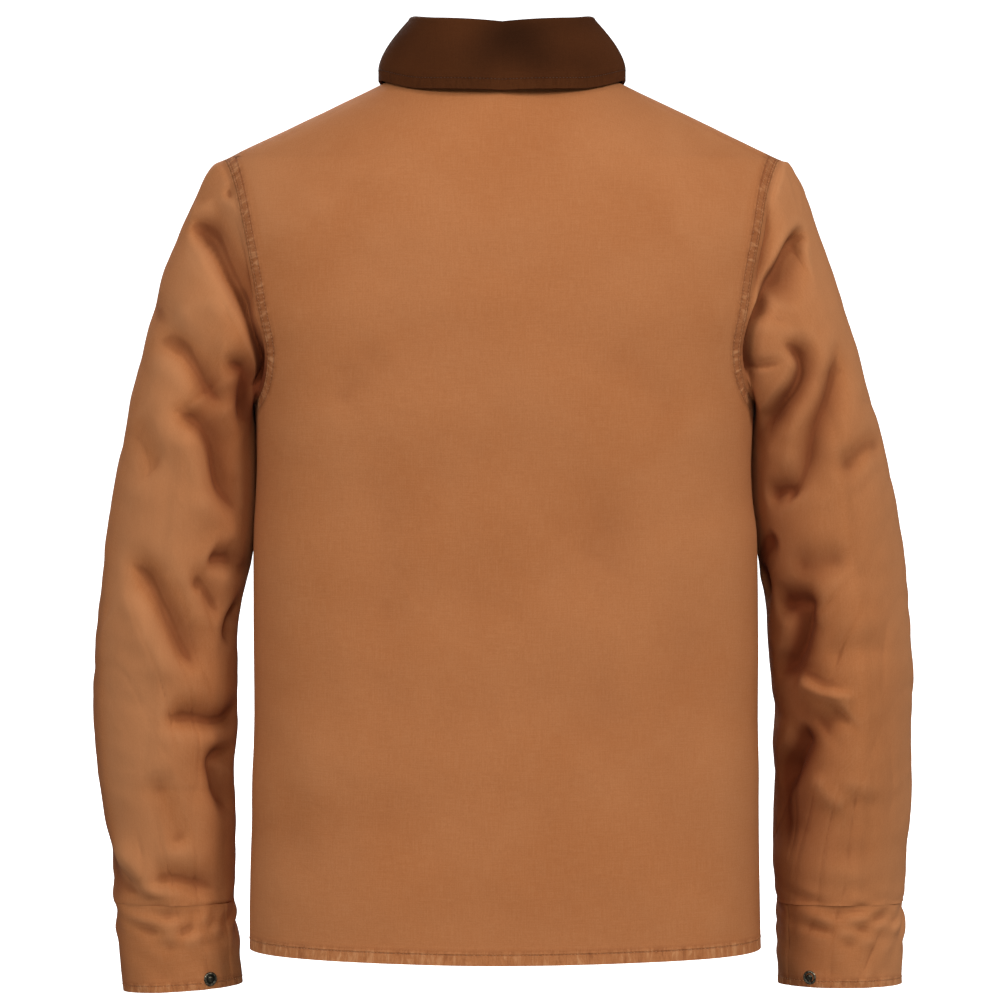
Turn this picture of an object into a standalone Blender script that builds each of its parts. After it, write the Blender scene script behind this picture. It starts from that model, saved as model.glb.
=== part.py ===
"""Canvas work jacket with a fold-down collar and banded cuffs, filled out as worn.

Frame: metres, +Z up. The origin is the centre of the neck opening, level with the base
of the neck. The back faces +Y, the front faces -Y and the wearer's left is +X.

Every panel is an open sheet of outer-face points with a Solidify wall behind it. The
tables are in millimetres, one row for each section, and `column` turns them into metres.
`side` is +1 for the wearer's left and -1 for the right; `face` is +1 for the back of the
body and -1 for its front.
"""

import math

import bmesh
import bpy
import numpy as np
from mathutils import Matrix, Vector

MM = 0.001

# ---------------------------------------------------------------- driving sizes (metres)

CANVAS = 1.6 * MM  # wall of the body, sleeves and cuffs
COLLAR_CLOTH = 2.4 * MM  # two layers and an interlining
SEAM_HALF_GAP = 0.3 * MM  # each sewn edge stops this far from its seam line
TIP_EASE = 0.5 * MM  # extra room at the shoulder tip, where three pieces meet
SLEEVE_GAP = 0.5 * MM  # sleeve edge to the armhole edge
CUFF_GAP = 0.4 * MM
COLLAR_GAP = 1.0 * MM
LEAF_GAP = 3.0 * MM  # between the collar's leaf and its stand, below the fold
FOLD_ACROSS = (-1 * MM, 5 * MM)  # the fold's flat top, from its table radius
LEAF_ROLL = 0.75  # share of the leaf's height over which it rolls out; below it hangs

NECK_POINT = (80 * MM, 8 * MM)  # x and z where the shoulder seam meets the neckline
SHOULDER_TIP = (222 * MM, -60 * MM)  # x and z where it meets the sleeve
BACK_NECK_DROP = 13 * MM
FRONT_NECK_DROP = 70 * MM
NECK_DROP_FROM = -225 * MM  # rows above this height start to follow the neckline
HEM = -688 * MM
HEM_DIP = 5 * MM  # the hem hangs lower at the centre than at the side seams

ARMHOLE_MIDDLE = -185 * MM  # height of the armhole's deepest point
ARMHOLE_RISE = 125 * MM
ARMHOLE_DROP = 70 * MM
ARMHOLE_DEPTH = {1: 68 * MM, -1: 76 * MM}  # back and front, from the side seam
ARMHOLE_ROUNDNESS = (1.2, 0.5)  # exponents of its upper and lower halves

LAP_HALF = 15 * MM  # the fronts overlap this far each side of the centre line
LAP_GAP = 0.5 * MM

SLEEVE_TOP = -290 * MM  # below this the sleeve is a free-hanging tube
CUFF_TOP = -655 * MM
CUFF_BOTTOM = {1: -724 * MM, -1: -721 * MM}
CUFF_TILT = {1: 3 * MM, -1: 0.0}  # the left cuff's outer edge hangs lower
CUFF_LAP = (-10, -21, -44, -58)  # degrees round the sleeve, start to free end
CUFF_PROUD = 1.0 * MM  # the band stands this far outside the sleeve's cloth
CUFF_SNAP = -32.5  # degrees round the sleeve, in the middle of the lap's flat strip
SNAP_ABOVE_EDGE = 8.2 * MM
SNAP_SEAT = 0.3 * MM  # daylight under a snap's cap
FRONT_SNAP_COUNT = 6
FRONT_SNAP_TOP = -100 * MM
FRONT_SNAP_BOTTOM = -640 * MM

SETTING_STRIP = 3 * MM  # flat start of the sleeve, in line with the body cloth
CAP_START_PULL = 0.45  # how far the sleeve head stands out before it turns down
CAP_END_PULL = 0.90
UNDER_ARM_SPAN = 70  # degrees of lift over which the sleeve leaves the body straight out
UNDER_ARM_LEAN = 0.3  # and how far it leans there towards the back or the front

BODY_SQUARENESS = 2.6  # exponent of the body's superellipse sections
SHOULDER_ROUND = 90 * MM  # the body rounds off over this height below the shoulder seam
SHOULDER_FULLNESS = 2.2

# ------------------------------------------------------------------ tables (millimetres)

TORSO_COLUMNS = ("height", "left", "right", "back", "front")
TORSO = (
    (8, 232, 232, 70, 52),
    (-10, 232, 232, 76, 57),
    (-30, 232, 232, 84, 64),
    (-60, 232, 232, 94, 78),
    (-92, 230, 230, 101, 92),
    (-124, 226, 227, 107, 101),
    (-156, 221, 222, 110, 107),
    (-188, 214, 216, 112, 111),
    (-220, 206, 209, 112, 115),
    (-255, 201, 205, 111, 118),
    (-300, 201, 204, 108, 119),
    (-360, 200, 204, 104, 118),
    (-420, 198.5, 205, 102, 117),
    (-500, 198, 205, 101, 116),
    (-560, 199, 205, 101, 115),
    (-640, 201, 206, 103, 114),
    (-700, 201, 207, 104, 113),
)

SLEEVE_COLUMNS = ("height", "outer", "inner", "middle", "half_depth")
SLEEVE = {
    1: (
        (-290, 305, 203, -6, 66),
        (-332, 313, 203, -9, 65),
        (-380, 319, 206, -12, 64),
        (-412, 323, 209, -14, 63),
        (-444, 327, 213, -16, 62),
        (-476, 329, 213, -18, 61),
        (-508, 328, 213, -20, 59),
        (-540, 326, 216, -22, 57),
        (-588, 321, 215, -24, 53),
        (-620, 317, 215, -25, 50),
        (-652, 313, 215, -26, 46),
        (-690, 308, 213, -27, 43),
        (-730, 305, 210, -28, 41),
    ),
    -1: (
        (-290, 306, 207, -6, 66),
        (-332, 316, 207, -9, 65),
        (-380, 323, 209, -12, 64),
        (-412, 327, 212, -14, 63),
        (-444, 329, 213, -16, 62),
        (-476, 331, 216, -18, 61),
        (-508, 330, 220, -20, 59),
        (-540, 330, 219, -22, 57),
        (-588, 329, 218, -24, 53),
        (-620, 326, 218, -25, 50),
        (-652, 324, 221, -26, 46),
        (-690, 323, 223, -27, 43),
        (-730, 322, 223, -28, 41),
    ),
}

# The sleeves' largest folds. Each runs through its path's points, (degrees round the
# sleeve, height); depth is how far the cloth moves out (+) or in (-) along its middle.
FOLDS = {
    # width, depth, path
    1: (
        (14, -11, ((66, -110), (45, -124), (21, -153), (3, -187), (-17, -210), (-46, -233), (-80, -256))),
        (15, -6, ((57, -192), (32, -197), (3, -230), (-32, -254))),
        (15, -8, ((28, -258), (0, -263), (-25, -278), (-39, -295), (-48, -317), (-85, -342))),
        (15, 9, ((-118, -245), (-120, -300), (-120, -345), (-116, -380))),
        (14, -7, ((-28, -380), (-59, -372), (-90, -366))),
        (15, -8, ((36, -374), (12, -396), (-8, -426), (-36, -468))),
        (17, 5, ((44, -394), (12, -440), (-10, -486))),
        (14, -6, ((6, -503), (-39, -500), (-54, -509), (-80, -488))),
        (14, -6, ((-38, -545), (-60, -534), (-90, -527))),
        (15, -5, ((60, -577), (30, -622), (14, -646))),
        (16, -6, ((150, -330), (180, -350), (220, -345))),
        (16, -6, ((120, -400), (165, -420), (215, -405))),
        (16, -5, ((135, -480), (180, -500), (225, -480))),
    ),
    -1: (
        (14, -7, ((52, -92), (32, -121), (8, -168), (-5, -191), (-25, -222))),
        (15, -10, ((48, -127), (28, -147), (16, -190), (8, -228), (-12, -248), (-46, -278), (-80, -303))),
        (15, 9, ((-118, -245), (-120, -300), (-120, -340), (-116, -372))),
        (15, -8, ((8, -258), (-6, -286), (-15, -308), (-24, -335))),
        (14, -6, ((46, -285), (23, -296), (4, -319))),
        (14, -7, ((-60, -384), (-34, -379), (-6, -369), (20, -358))),
        (15, -7, ((-12, -412), (-30, -422), (-36, -450), (-60, -486))),
        (16, 4, ((12, -430), (0, -460), (-10, -500))),
        (15, -8, ((-34, -503), (-42, -528), (-60, -566))),
        (15, -5, ((-34, -574), (-24, -592), (5, -618))),
        (16, -6, ((140, -320), (175, -345), (225, -335))),
        (16, -6, ((130, -395), (180, -410), (220, -425))),
        (16, -5, ((125, -490), (170, -485), (220, -505))),
    ),
}
FOLD_GIRTH = 58 * MM  # sleeve radius that turns degrees round it into a length
FOLD_FADE_ROWS = 2  # folds start this many rows below the armhole

# The collar by its turn from the centre back: radius and height of its fold and of the
# lower edge of its leaf.
COLLAR_COLUMNS = ("turn", "fold_radius", "fold_height", "edge_radius", "edge_height")
COLLAR = (
    (0, 62, 43.5, 79, -12),
    (45, 70, 48, 88, -9),
    (90, 69, 54, 99, 3),
    (112, 69, 38, 98, -6),
    (135, 70, 12, 98, -42),
    (180, 72, -28, 104, -100),
)
COLLAR_SPREAD = 3  # degrees that each collar end stops short of the centre front

# A snap's cap, turned round its own axis.
SNAP_PROFILE = (
    # radius, height
    (0, 2.6),
    (1.6, 2.4),
    (2.6, 1.7),
    (3.1, 1.4),
    (3.8, 1.9),
    (4.8, 2.0),
    (5.5, 1.5),
    (5.75, 0.8),
    (5.3, 0),
    (0, 0),
)

# Mesh density: how many strips each stretch of a panel is cut into.
INNER_STRIPS = 8  # centre line to the armhole; the last is the narrow seam strip
SEAM_STRIP = 0.015  # its share of the panel's width
STRIP_NARROWING = 0.25  # how much the strips narrow towards the armhole
UNDER_STRIPS = 3  # under the arm, armhole to the side seam
LOW_ROWS = 9  # hem to the under-arm
ARM_ROWS = 8  # up the armhole
TOP_ROWS = 3  # shoulder tip to the neck point
CAP_ROWS = 7
TUBE_ROWS = 15
CUFF_ROWS = 3
CUFF_STRIPS = 17  # round the open part of the cuff
STAND_ROWS = 2
LEAF_ROWS = 4
SNAP_STEPS = 16

COLOURS = {
    "canvas": ((0.407, 0.156, 0.060, 1.0), 0.85, 0.0),
    "collar": ((0.066, 0.018, 0.006, 1.0), 0.90, 0.0),
    "snap": ((0.030, 0.028, 0.022, 1.0), 0.35, 1.0),
}

# --------------------------------------------------------------------- table reading


def column(table, names, name, at):
    """One named column of a table at the places `at`, smooth and without overshoot."""
    rows = np.array(table, dtype=float)
    rows = rows[np.argsort(rows[:, 0])]
    scale = 1.0 if names[0] == "turn" else MM
    knots = rows[:, 0] * scale
    values = rows[:, names.index(name)] * MM
    step = np.diff(knots)
    slope = np.diff(values) / step
    pair = slope[:-1] * slope[1:]
    total = slope[:-1] + slope[1:]
    bend = np.where(pair > 0, 2 * pair / np.where(total == 0, 1, total), 0.0)
    tangent = np.concatenate((slope[:1], bend, slope[-1:]))
    at = np.clip(np.asarray(at, dtype=float), knots[0], knots[-1])
    cell = np.clip(np.searchsorted(knots, at) - 1, 0, len(step) - 1)
    t = (at - knots[cell]) / step[cell]
    rise = (values[cell + 1] - values[cell]) * t * t * (3 - 2 * t)
    lean = tangent[cell] * t * (1 - t) ** 2 - tangent[cell + 1] * t * t * (1 - t)
    return values[cell] + rise + lean * step[cell]


def unit(vectors):
    """Vectors scaled to length 1 along the last axis."""
    return vectors / np.linalg.norm(vectors, axis=-1, keepdims=True)


# --------------------------------------------------------------------------- torso


def torso_width(side, height):
    """Half width of the body's section, before the shoulders slope in."""
    return column(TORSO, TORSO_COLUMNS, "left" if side > 0 else "right", height)


def torso_depth(face, height):
    """Depth of the body's section in front of or behind its side seams."""
    return column(TORSO, TORSO_COLUMNS, "back" if face > 0 else "front", height)


def section_depth(side, face, x, height):
    """Depth of the section at x, before the shoulders round it off."""
    ratio = np.clip(np.abs(x) / torso_width(side, height), 0, 1) ** BODY_SQUARENESS
    return torso_depth(face, height) * (1 - ratio) ** (1 / BODY_SQUARENESS)


def shoulder_height(x):
    """Height of the straight shoulder seam over x."""
    slope = (SHOULDER_TIP[1] - NECK_POINT[1]) / (SHOULDER_TIP[0] - NECK_POINT[0])
    return NECK_POINT[1] + (np.abs(x) - NECK_POINT[0]) * slope


def torso_point(side, face, swing, height):
    """A point of the body's outer face. swing is 0 at the face's centre line and a right
    angle at the side seam; a negative swing is past the centre line. Near the shoulder
    seam the section's depth rounds off to nothing."""
    power = BODY_SQUARENESS
    along = np.abs(np.cos(swing)) / torso_depth(face, height)
    across = np.abs(np.sin(swing)) / torso_width(side, height)
    reach = (along**power + across**power) ** (-1 / power)
    x = side * reach * np.sin(swing)
    below = np.clip((shoulder_height(x) - height) / SHOULDER_ROUND, 0, 1)
    roof = (1 - (1 - below) ** SHOULDER_FULLNESS) ** (1 / SHOULDER_FULLNESS)
    y = face * reach * np.cos(swing) * roof
    return np.stack(np.broadcast_arrays(x, y, height), axis=-1)


def armhole_edge(side, face, lift):
    """Swing and height of the armhole's edge. lift runs from minus a right angle, under
    the arm, to a right angle at the shoulder tip."""
    rise, run = np.sin(lift), np.clip(np.cos(lift), 0, 1)
    upper = rise >= 0
    height = ARMHOLE_MIDDLE + rise * np.where(upper, ARMHOLE_RISE, ARMHOLE_DROP)
    tip = np.where(upper, section_depth(side, face, *SHOULDER_TIP), 0.0)
    depth = tip + (ARMHOLE_DEPTH[face] - tip) * run ** np.where(upper, *ARMHOLE_ROUNDNESS)
    ratio = (depth / torso_depth(face, height)) ** BODY_SQUARENESS
    width = torso_width(side, height) * (1 - ratio) ** (1 / BODY_SQUARENESS)
    return np.arctan2(width, depth), height


def shoulder_edge(side, face, height):
    """Swing of the shoulder seam at one height."""
    slope = (SHOULDER_TIP[0] - NECK_POINT[0]) / (SHOULDER_TIP[1] - NECK_POINT[1])
    x = NECK_POINT[0] + (height - NECK_POINT[1]) * slope
    return np.arctan2(x, section_depth(side, face, x, height))


def lifts():
    """The armhole's lift angles, one for each sleeve strip, from under the arm up."""
    return np.linspace(-math.pi / 2, math.pi / 2, UNDER_STRIPS + ARM_ROWS + 1)


def half_panel(side, face):
    """Outer-face points of one half of a body panel: rows from the hem up, columns from
    the centre line to the side seam. Rows above the under-arm stop at the armhole, so
    their last UNDER_STRIPS columns are empty (NaN)."""
    angles = lifts()
    edge_swing, edge_height = armhole_edge(side, face, angles)
    columns = INNER_STRIPS + UNDER_STRIPS
    rows = LOW_ROWS + ARM_ROWS + TOP_ROWS
    share = np.linspace(0, 1, INNER_STRIPS)
    share = share * (1 + STRIP_NARROWING * (1 - share**2))
    share = np.append(share * (1 - SEAM_STRIP), 1.0)
    lap = 0.0 if face > 0 else 1.0

    def swings(height, edge):
        start = lap * LAP_HALF / torso_depth(face, height)
        return start + share * (edge - start)

    # Upper rows, from the armhole's split point to the neckline.
    drop = BACK_NECK_DROP if face > 0 else FRONT_NECK_DROP
    neck_line = drop * (1 - share**2) ** (1.5 if face > 0 else 3)
    tops = np.linspace(SHOULDER_TIP[1], NECK_POINT[1], TOP_ROWS + 1)[1:]
    row_height = np.concatenate((edge_height[UNDER_STRIPS:], tops))
    row_edge = np.concatenate((edge_swing[UNDER_STRIPS:], shoulder_edge(side, face, tops)))
    grid = np.full((rows + 1, columns + 1, 3), np.nan)
    for index, (height, edge) in enumerate(zip(row_height, row_edge)):
        follow = max(0.0, (height - NECK_DROP_FROM) / (NECK_POINT[1] - NECK_DROP_FROM))
        heights = height - neck_line * follow
        swing = swings(heights, edge)
        grid[LOW_ROWS + index, : INNER_STRIPS + 1] = torso_point(side, face, swing, heights)

    # Lower rows, from the hem to the under-arm part of the armhole.
    split = (edge_height[UNDER_STRIPS], edge_swing[UNDER_STRIPS])
    under = slice(UNDER_STRIPS, None, -1)
    top_height = np.concatenate((np.full(INNER_STRIPS, split[0]), edge_height[under]))
    top_swing = np.concatenate((swings(*split)[:-1], edge_swing[under]))
    even = np.arange(columns + 1) / columns
    start = lap * LAP_HALF / torso_depth(face, HEM)
    hem_swing = start + even * (math.pi / 2 - start)
    hem_height = HEM - HEM_DIP * np.cos(hem_swing)
    for index in range(LOW_ROWS + 1):
        up = index / LOW_ROWS
        heights = hem_height + up * (top_height - hem_height)
        swing = hem_swing + up * (top_swing - hem_swing)
        swing[0] = lap * LAP_HALF / torso_depth(face, heights[0])
        grid[index] = torso_point(side, face, swing, heights)
    return grid


def armhole_line(grid):
    """The armhole edge of a half panel, from under the arm up, and beside each of its
    points a neighbour on the panel."""
    under = range(INNER_STRIPS + UNDER_STRIPS, INNER_STRIPS, -1)
    edge = [grid[LOW_ROWS, col] for col in under]
    beside = [grid[LOW_ROWS - 1, col] for col in under]
    for row in range(LOW_ROWS, LOW_ROWS + ARM_ROWS):
        edge.append(grid[row, INNER_STRIPS])
        beside.append(grid[row, INNER_STRIPS - 1])
    edge.append(grid[LOW_ROWS + ARM_ROWS, INNER_STRIPS])
    beside.append(grid[LOW_ROWS + ARM_ROWS + 1, INNER_STRIPS])
    return np.array(edge), np.array(beside)


def open_seams(grid, face):
    """Move the side-seam and shoulder-seam edges back from their seam line."""
    moved = grid.copy()
    moved[: LOW_ROWS + 1, -1, 1] += face * SEAM_HALF_GAP
    moved[LOW_ROWS + ARM_ROWS :, INNER_STRIPS, 1] += face * SEAM_HALF_GAP
    moved[LOW_ROWS + ARM_ROWS, INNER_STRIPS, 1] += face * TIP_EASE
    return moved


# -------------------------------------------------------------------------- sleeves


def sleeve_ring(side, around, height):
    """A point of the hanging sleeve. around is minus a right angle next to the body, 0 at
    the back, a right angle at the outer edge and two at the front."""
    outer, inner, middle, half_depth = (
        column(SLEEVE[side], SLEEVE_COLUMNS, name, height) for name in SLEEVE_COLUMNS[1:]
    )
    x = side * ((outer + inner) / 2 + (outer - inner) / 2 * np.sin(around))
    y = middle + half_depth * np.cos(around)
    return np.stack(np.broadcast_arrays(x, y, height), axis=-1)


def setting_directions(side, edge, beside, lift):
    """The way the sleeve leaves each armhole point: in line with the body's cloth along
    the sides and shoulder, and straight out from the body under the arm."""
    along = np.roll(edge, -1, axis=0) - np.roll(edge, 1, axis=0)
    outwards = edge - beside
    normal = np.cross(along, outwards)
    away = unit(np.cross(normal, along))
    away *= np.sign(np.sum(away * outwards, axis=1, keepdims=True))
    lean = UNDER_ARM_LEAN * edge[:, 1] / edge[:, 0] * side
    straight = unit(np.stack((np.full(len(lift), side), lean, 0 * lift), axis=-1))
    blend = np.clip((lift + math.pi / 2) / math.radians(UNDER_ARM_SPAN), 0, 1)[:, None]
    blend = blend * blend * (3 - 2 * blend)
    return unit(away * blend + straight * (1 - blend))


def sleeve_grid(side, back, front):
    """Outer-face points of a sleeve, rows from the armhole down, columns around it."""
    back_edge, back_beside = armhole_line(back)
    front_edge, front_beside = armhole_line(front)
    edge = np.concatenate((back_edge, front_edge[-2:0:-1]))
    beside = np.concatenate((back_beside, front_beside[-2:0:-1]))
    lift = np.concatenate((lifts(), lifts()[-2:0:-1]))
    around = np.concatenate((lifts(), math.pi - lifts()[-2:0:-1]))
    direction = setting_directions(side, edge, beside, lift)
    start = edge + direction * (SLEEVE_GAP + SETTING_STRIP)
    end = sleeve_ring(side, around, np.full(len(around), SLEEVE_TOP))
    below = sleeve_ring(side, around, np.full(len(around), SLEEVE_TOP - MM))
    span = np.linalg.norm(end - start, axis=1, keepdims=True)
    start_pull = direction * span * CAP_START_PULL
    end_pull = unit(below - end) * span * CAP_END_PULL
    rows = [edge + direction * SLEEVE_GAP]
    for t in np.linspace(0, 1, CAP_ROWS + 1):
        ends = start + (end - start) * t * t * (3 - 2 * t)
        rows.append(ends + start_pull * t * (1 - t) ** 2 - end_pull * t * t * (1 - t))
    for height in np.linspace(SLEEVE_TOP, CUFF_TOP, TUBE_ROWS + 1)[1:]:
        rows.append(sleeve_ring(side, around, np.full(len(around), height)))
    return fold_sleeve(side, np.array(rows), around)


def distance_to_path(around, height, path):
    """Distance over the sleeve's surface from each point to a fold's path."""
    nearest = np.full(np.broadcast(around, height).shape, np.inf)
    for (turn_a, height_a), (turn_b, height_b) in zip(path, path[1:]):
        off = np.radians(turn_a) - around
        u = -((off + math.pi) % (2 * math.pi) - math.pi) * FOLD_GIRTH
        v = height - height_a * MM
        du, dv = math.radians(turn_b - turn_a) * FOLD_GIRTH, (height_b - height_a) * MM
        share = np.clip((u * du + v * dv) / (du * du + dv * dv), 0, 1)
        nearest = np.minimum(nearest, np.hypot(u - share * du, v - share * dv))
    return nearest


def outward(grid):
    """Unit normals of a closed-round grid, from its neighbours."""
    across = np.roll(grid, -1, axis=1) - np.roll(grid, 1, axis=1)
    down = np.gradient(grid, axis=0)
    normal = unit(np.cross(across, down))
    centre = grid.mean(axis=1, keepdims=True)
    return normal * np.sign(np.sum(normal * (grid - centre), axis=(1, 2)))[:, None, None]


def fold_sleeve(side, grid, around):
    """Press the sleeve's folds into its grid, leaving both sewn ends as they are."""
    moved = np.zeros(grid.shape[:2])
    for width, depth, path in FOLDS[side]:
        reach = distance_to_path(around[None, :], grid[:, :, 2], path) / (width * MM)
        moved += depth * MM * np.exp(-(reach**2))
    moved[: FOLD_FADE_ROWS + 1] = 0
    moved[-1] = 0
    return grid + outward(grid) * moved[:, :, None]


# ---------------------------------------------------------------------------- cuffs

def cuff_point(side, around, height, proud):
    """A point of the cuff's outer face, `proud` of the sleeve's own section."""
    base = sleeve_ring(side, around, height)
    step = sleeve_ring(side, around + 0.01, height) - sleeve_ring(side, around - 0.01, height)
    out = unit(np.stack((-step[..., 1], step[..., 0], 0 * step[..., 2]), axis=-1)) * side
    return base + out * np.asarray(proud)[..., None]


def cuff_bottom(side, around):
    """Height of the cuff's lower edge."""
    return CUFF_BOTTOM[side] - CUFF_TILT[side] * np.sin(around)


def cuff_grid(side):
    """The band from its under end, all the way round and over itself to the lap's end."""
    turn = 2 * math.pi
    lap = np.radians(CUFF_LAP)
    open_part = np.linspace(lap[-1], lap[0] - turn, CUFF_STRIPS + 1)
    around = np.concatenate((lap, open_part[1:-1], lap - turn))
    buried = CUFF_PROUD - CANVAS - CUFF_GAP
    proud = np.full(len(around), CUFF_PROUD)
    proud[: len(lap)] = buried
    rows = []
    for t in np.linspace(0, 1, CUFF_ROWS + 1):
        top = CUFF_TOP - CUFF_GAP
        height = top + (cuff_bottom(side, around) - top) * t
        rows.append(cuff_point(side, around, height, proud))
    return np.array(rows)


# --------------------------------------------------------------------------- collar


def neckline(backs, fronts):
    """The neckline's points from the right front, round the back, to the left front."""
    tops = {}
    for side in (1, -1):
        back = backs[side][-1, : INNER_STRIPS + 1]
        front = fronts[side][-1, INNER_STRIPS - 1 :: -1]
        tops[side] = np.concatenate((back, front))
    return np.concatenate((tops[-1][:0:-1], tops[1]))


def collar_frame(points):
    """For each neckline point: its outward direction, its radius and its turn from the
    centre back in degrees. The two ends close towards the centre front."""
    turn = np.degrees(np.arctan2(points[:, 0], points[:, 1]))
    turn[0], turn[-1] = COLLAR_SPREAD - 180, 180 - COLLAR_SPREAD
    angle = np.radians(turn)
    out = np.stack((np.sin(angle), np.cos(angle), 0 * angle), axis=-1)
    return out, np.hypot(points[:, 0], points[:, 1]), np.abs(turn)


def collar_place(out, radius, height):
    """Points at these radii and heights in the collar's outward directions."""
    place = out * radius[:, None]
    place[:, 2] = height
    return place


def stand_line(points):
    """Radius and height of the stand's foot and of its top edge, point by point. The top
    stays a cloth's thickness under the leaf, measured square to the sloping fold."""
    _, radius, turn = collar_frame(points)
    fold = column(COLLAR, COLLAR_COLUMNS, "fold_radius", turn)
    height = column(COLLAR, COLLAR_COLUMNS, "fold_height", turn)
    run = np.abs(np.gradient(np.radians(turn))) * fold
    slope = np.gradient(height) / np.maximum(run, MM)
    top = height - (COLLAR_CLOTH + COLLAR_GAP) * np.hypot(1, slope)
    return radius, points[:, 2] + COLLAR_GAP, fold + COLLAR_CLOTH, top


def stand_grid(points):
    """Collar stand: from just above the neckline up to the underside of the fold."""
    out = collar_frame(points)[0]
    foot_radius, foot, top_radius, top = stand_line(points)
    rows = []
    for t in np.linspace(0, 1, STAND_ROWS + 1):
        radius = foot_radius + (top_radius - foot_radius) * t
        rows.append(collar_place(out, radius, foot + (top - foot) * t))
    return np.array(rows)


def leaf_grid(points):
    """Collar leaf: out over the fold and down to its edge, clear of the stand and body."""
    out, _, turn = collar_frame(points)
    foot_radius, foot, top_radius, stand_top = stand_line(points)
    fold, top, edge_radius, edge = (
        column(COLLAR, COLLAR_COLUMNS, name, turn) for name in COLLAR_COLUMNS[1:]
    )
    spare = COLLAR_CLOTH + LEAF_GAP
    rows = [collar_place(out, fold + across, top) for across in FOLD_ACROSS]
    for t in np.linspace(0, 1, LEAF_ROWS + 1):
        height = stand_top + (edge - stand_top) * t
        share = np.clip((height - foot) / (stand_top - foot), 0, 1)
        behind = foot_radius + (top_radius - foot_radius) * share + spare
        roll = min(t / LEAF_ROLL, 1)
        flare = (edge_radius - foot_radius - spare) * roll * roll * (3 - 2 * roll)
        rows.append(collar_place(out, behind + flare, height))
    return np.array(rows)


# ----------------------------------------------------------------------- Blender side


def make_material(name):
    colour, roughness, metallic = COLOURS[name]
    material = bpy.data.materials.new(name)
    material.use_nodes = True
    shader = material.node_tree.nodes["Principled BSDF"]
    shader.inputs["Base Color"].default_value = colour
    shader.inputs["Roughness"].default_value = roughness
    shader.inputs["Metallic"].default_value = metallic
    return material


def sheet(name, grid, wall, material, ring=False, flip=False):
    """An object from a grid of outer-face points, with its wall on the inner side."""
    mesh = bpy.data.meshes.new(name)
    build = bmesh.new()
    rows, columns = grid.shape[:2]
    vertices = {}
    for row in range(rows):
        for col in range(columns):
            if not math.isnan(grid[row, col, 0]):
                vertices[row, col] = build.verts.new(grid[row, col])
    for row in range(rows - 1):
        for col in range(columns if ring else columns - 1):
            side = (col + 1) % columns
            corners = [(row, col), (row, side), (row + 1, side), (row + 1, col)]
            if all(corner in vertices for corner in corners):
                corners = corners[::-1] if flip else corners
                build.faces.new([vertices[corner] for corner in corners])
    build.to_mesh(mesh)
    build.free()
    mesh.shade_smooth()
    mesh.materials.append(material)
    thing = bpy.data.objects.new(name, mesh)
    solidify = thing.modifiers.new("wall", "SOLIDIFY")
    solidify.thickness = wall
    solidify.offset = -1
    return thing


def body_objects(backs, fronts, canvas):
    """The one-piece back and the two fronts, the left front lapping over the right."""
    halves = {side: open_seams(backs[side], 1) for side in backs}
    back = np.concatenate((halves[-1][:, :0:-1], halves[1]), axis=1)
    objects = [sheet("back", back, CANVAS, canvas, flip=True)]
    for side, name in ((1, "front_left"), (-1, "front_right")):
        half = open_seams(fronts[side], -1)
        past = half[:, :1].copy()
        past[:, :, 0] *= -1
        grid = np.concatenate((past, half), axis=1)
        if side > 0:
            grid[:, :2, 1] -= CANVAS + LAP_GAP
        objects.append(sheet(name, grid, CANVAS, canvas, flip=side < 0))
    return objects


def snap_mesh(material):
    """The turned profile of a snap cap, shared by all the snaps."""
    mesh = bpy.data.meshes.new("snap")
    build = bmesh.new()
    line = [build.verts.new((radius * MM, 0, height * MM)) for radius, height in SNAP_PROFILE]
    for first, second in zip(line, line[1:]):
        build.edges.new((first, second))
    build.to_mesh(mesh)
    build.free()
    mesh.materials.append(material)
    return mesh


def snap(name, mesh, place, out):
    """A snap cap seated on the cloth at `place`, facing `out`."""
    thing = bpy.data.objects.new(name, mesh)
    screw = thing.modifiers.new("turned", "SCREW")
    screw.steps = SNAP_STEPS
    screw.render_steps = SNAP_STEPS
    screw.use_merge_vertices = True
    screw.merge_threshold = 1e-5
    screw.use_smooth_shade = True
    out = Vector(out)
    facing = out.to_track_quat("Z", "Y").to_matrix().to_4x4()
    thing.matrix_world = Matrix.Translation(Vector(place) + out * SNAP_SEAT) @ facing
    return thing


def front_snaps(front, mesh):
    """Snaps down the middle of the lap, each on the flat strip between two rows."""
    objects = []
    centre = front[:, 0] * (0, 1, 1)
    for index in range(FRONT_SNAP_COUNT):
        share = index / (FRONT_SNAP_COUNT - 1)
        height = FRONT_SNAP_TOP + share * (FRONT_SNAP_BOTTOM - FRONT_SNAP_TOP)
        row = int(np.searchsorted(centre[:, 2], height)) - 1
        low, high = centre[row], centre[row + 1]
        place = (low + high) / 2 - (0, CANVAS + LAP_GAP, 0)
        up = unit(high - low)
        objects.append(snap(f"snap_front_{index + 1}", mesh, place, (0, -up[2], up[1])))
    return objects


def cuff_snap(side, name, mesh):
    """The cuff's snap, on the flat strip of the lap that it sits on."""
    height = cuff_bottom(side, math.radians(CUFF_SNAP)) + SNAP_ABOVE_EDGE
    strip = np.radians(CUFF_LAP[1:3])
    proud = np.full(2, CUFF_PROUD)
    low = cuff_point(side, strip, np.full(2, height - SNAP_ABOVE_EDGE / 2), proud)
    high = cuff_point(side, strip, np.full(2, height + SNAP_ABOVE_EDGE / 2), proud)
    out = unit(np.cross(low[1] - low[0], high[0] - low[0]))
    out *= np.sign(out[1])
    return snap(name, mesh, (low + high).mean(axis=0) / 2, out)


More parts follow.
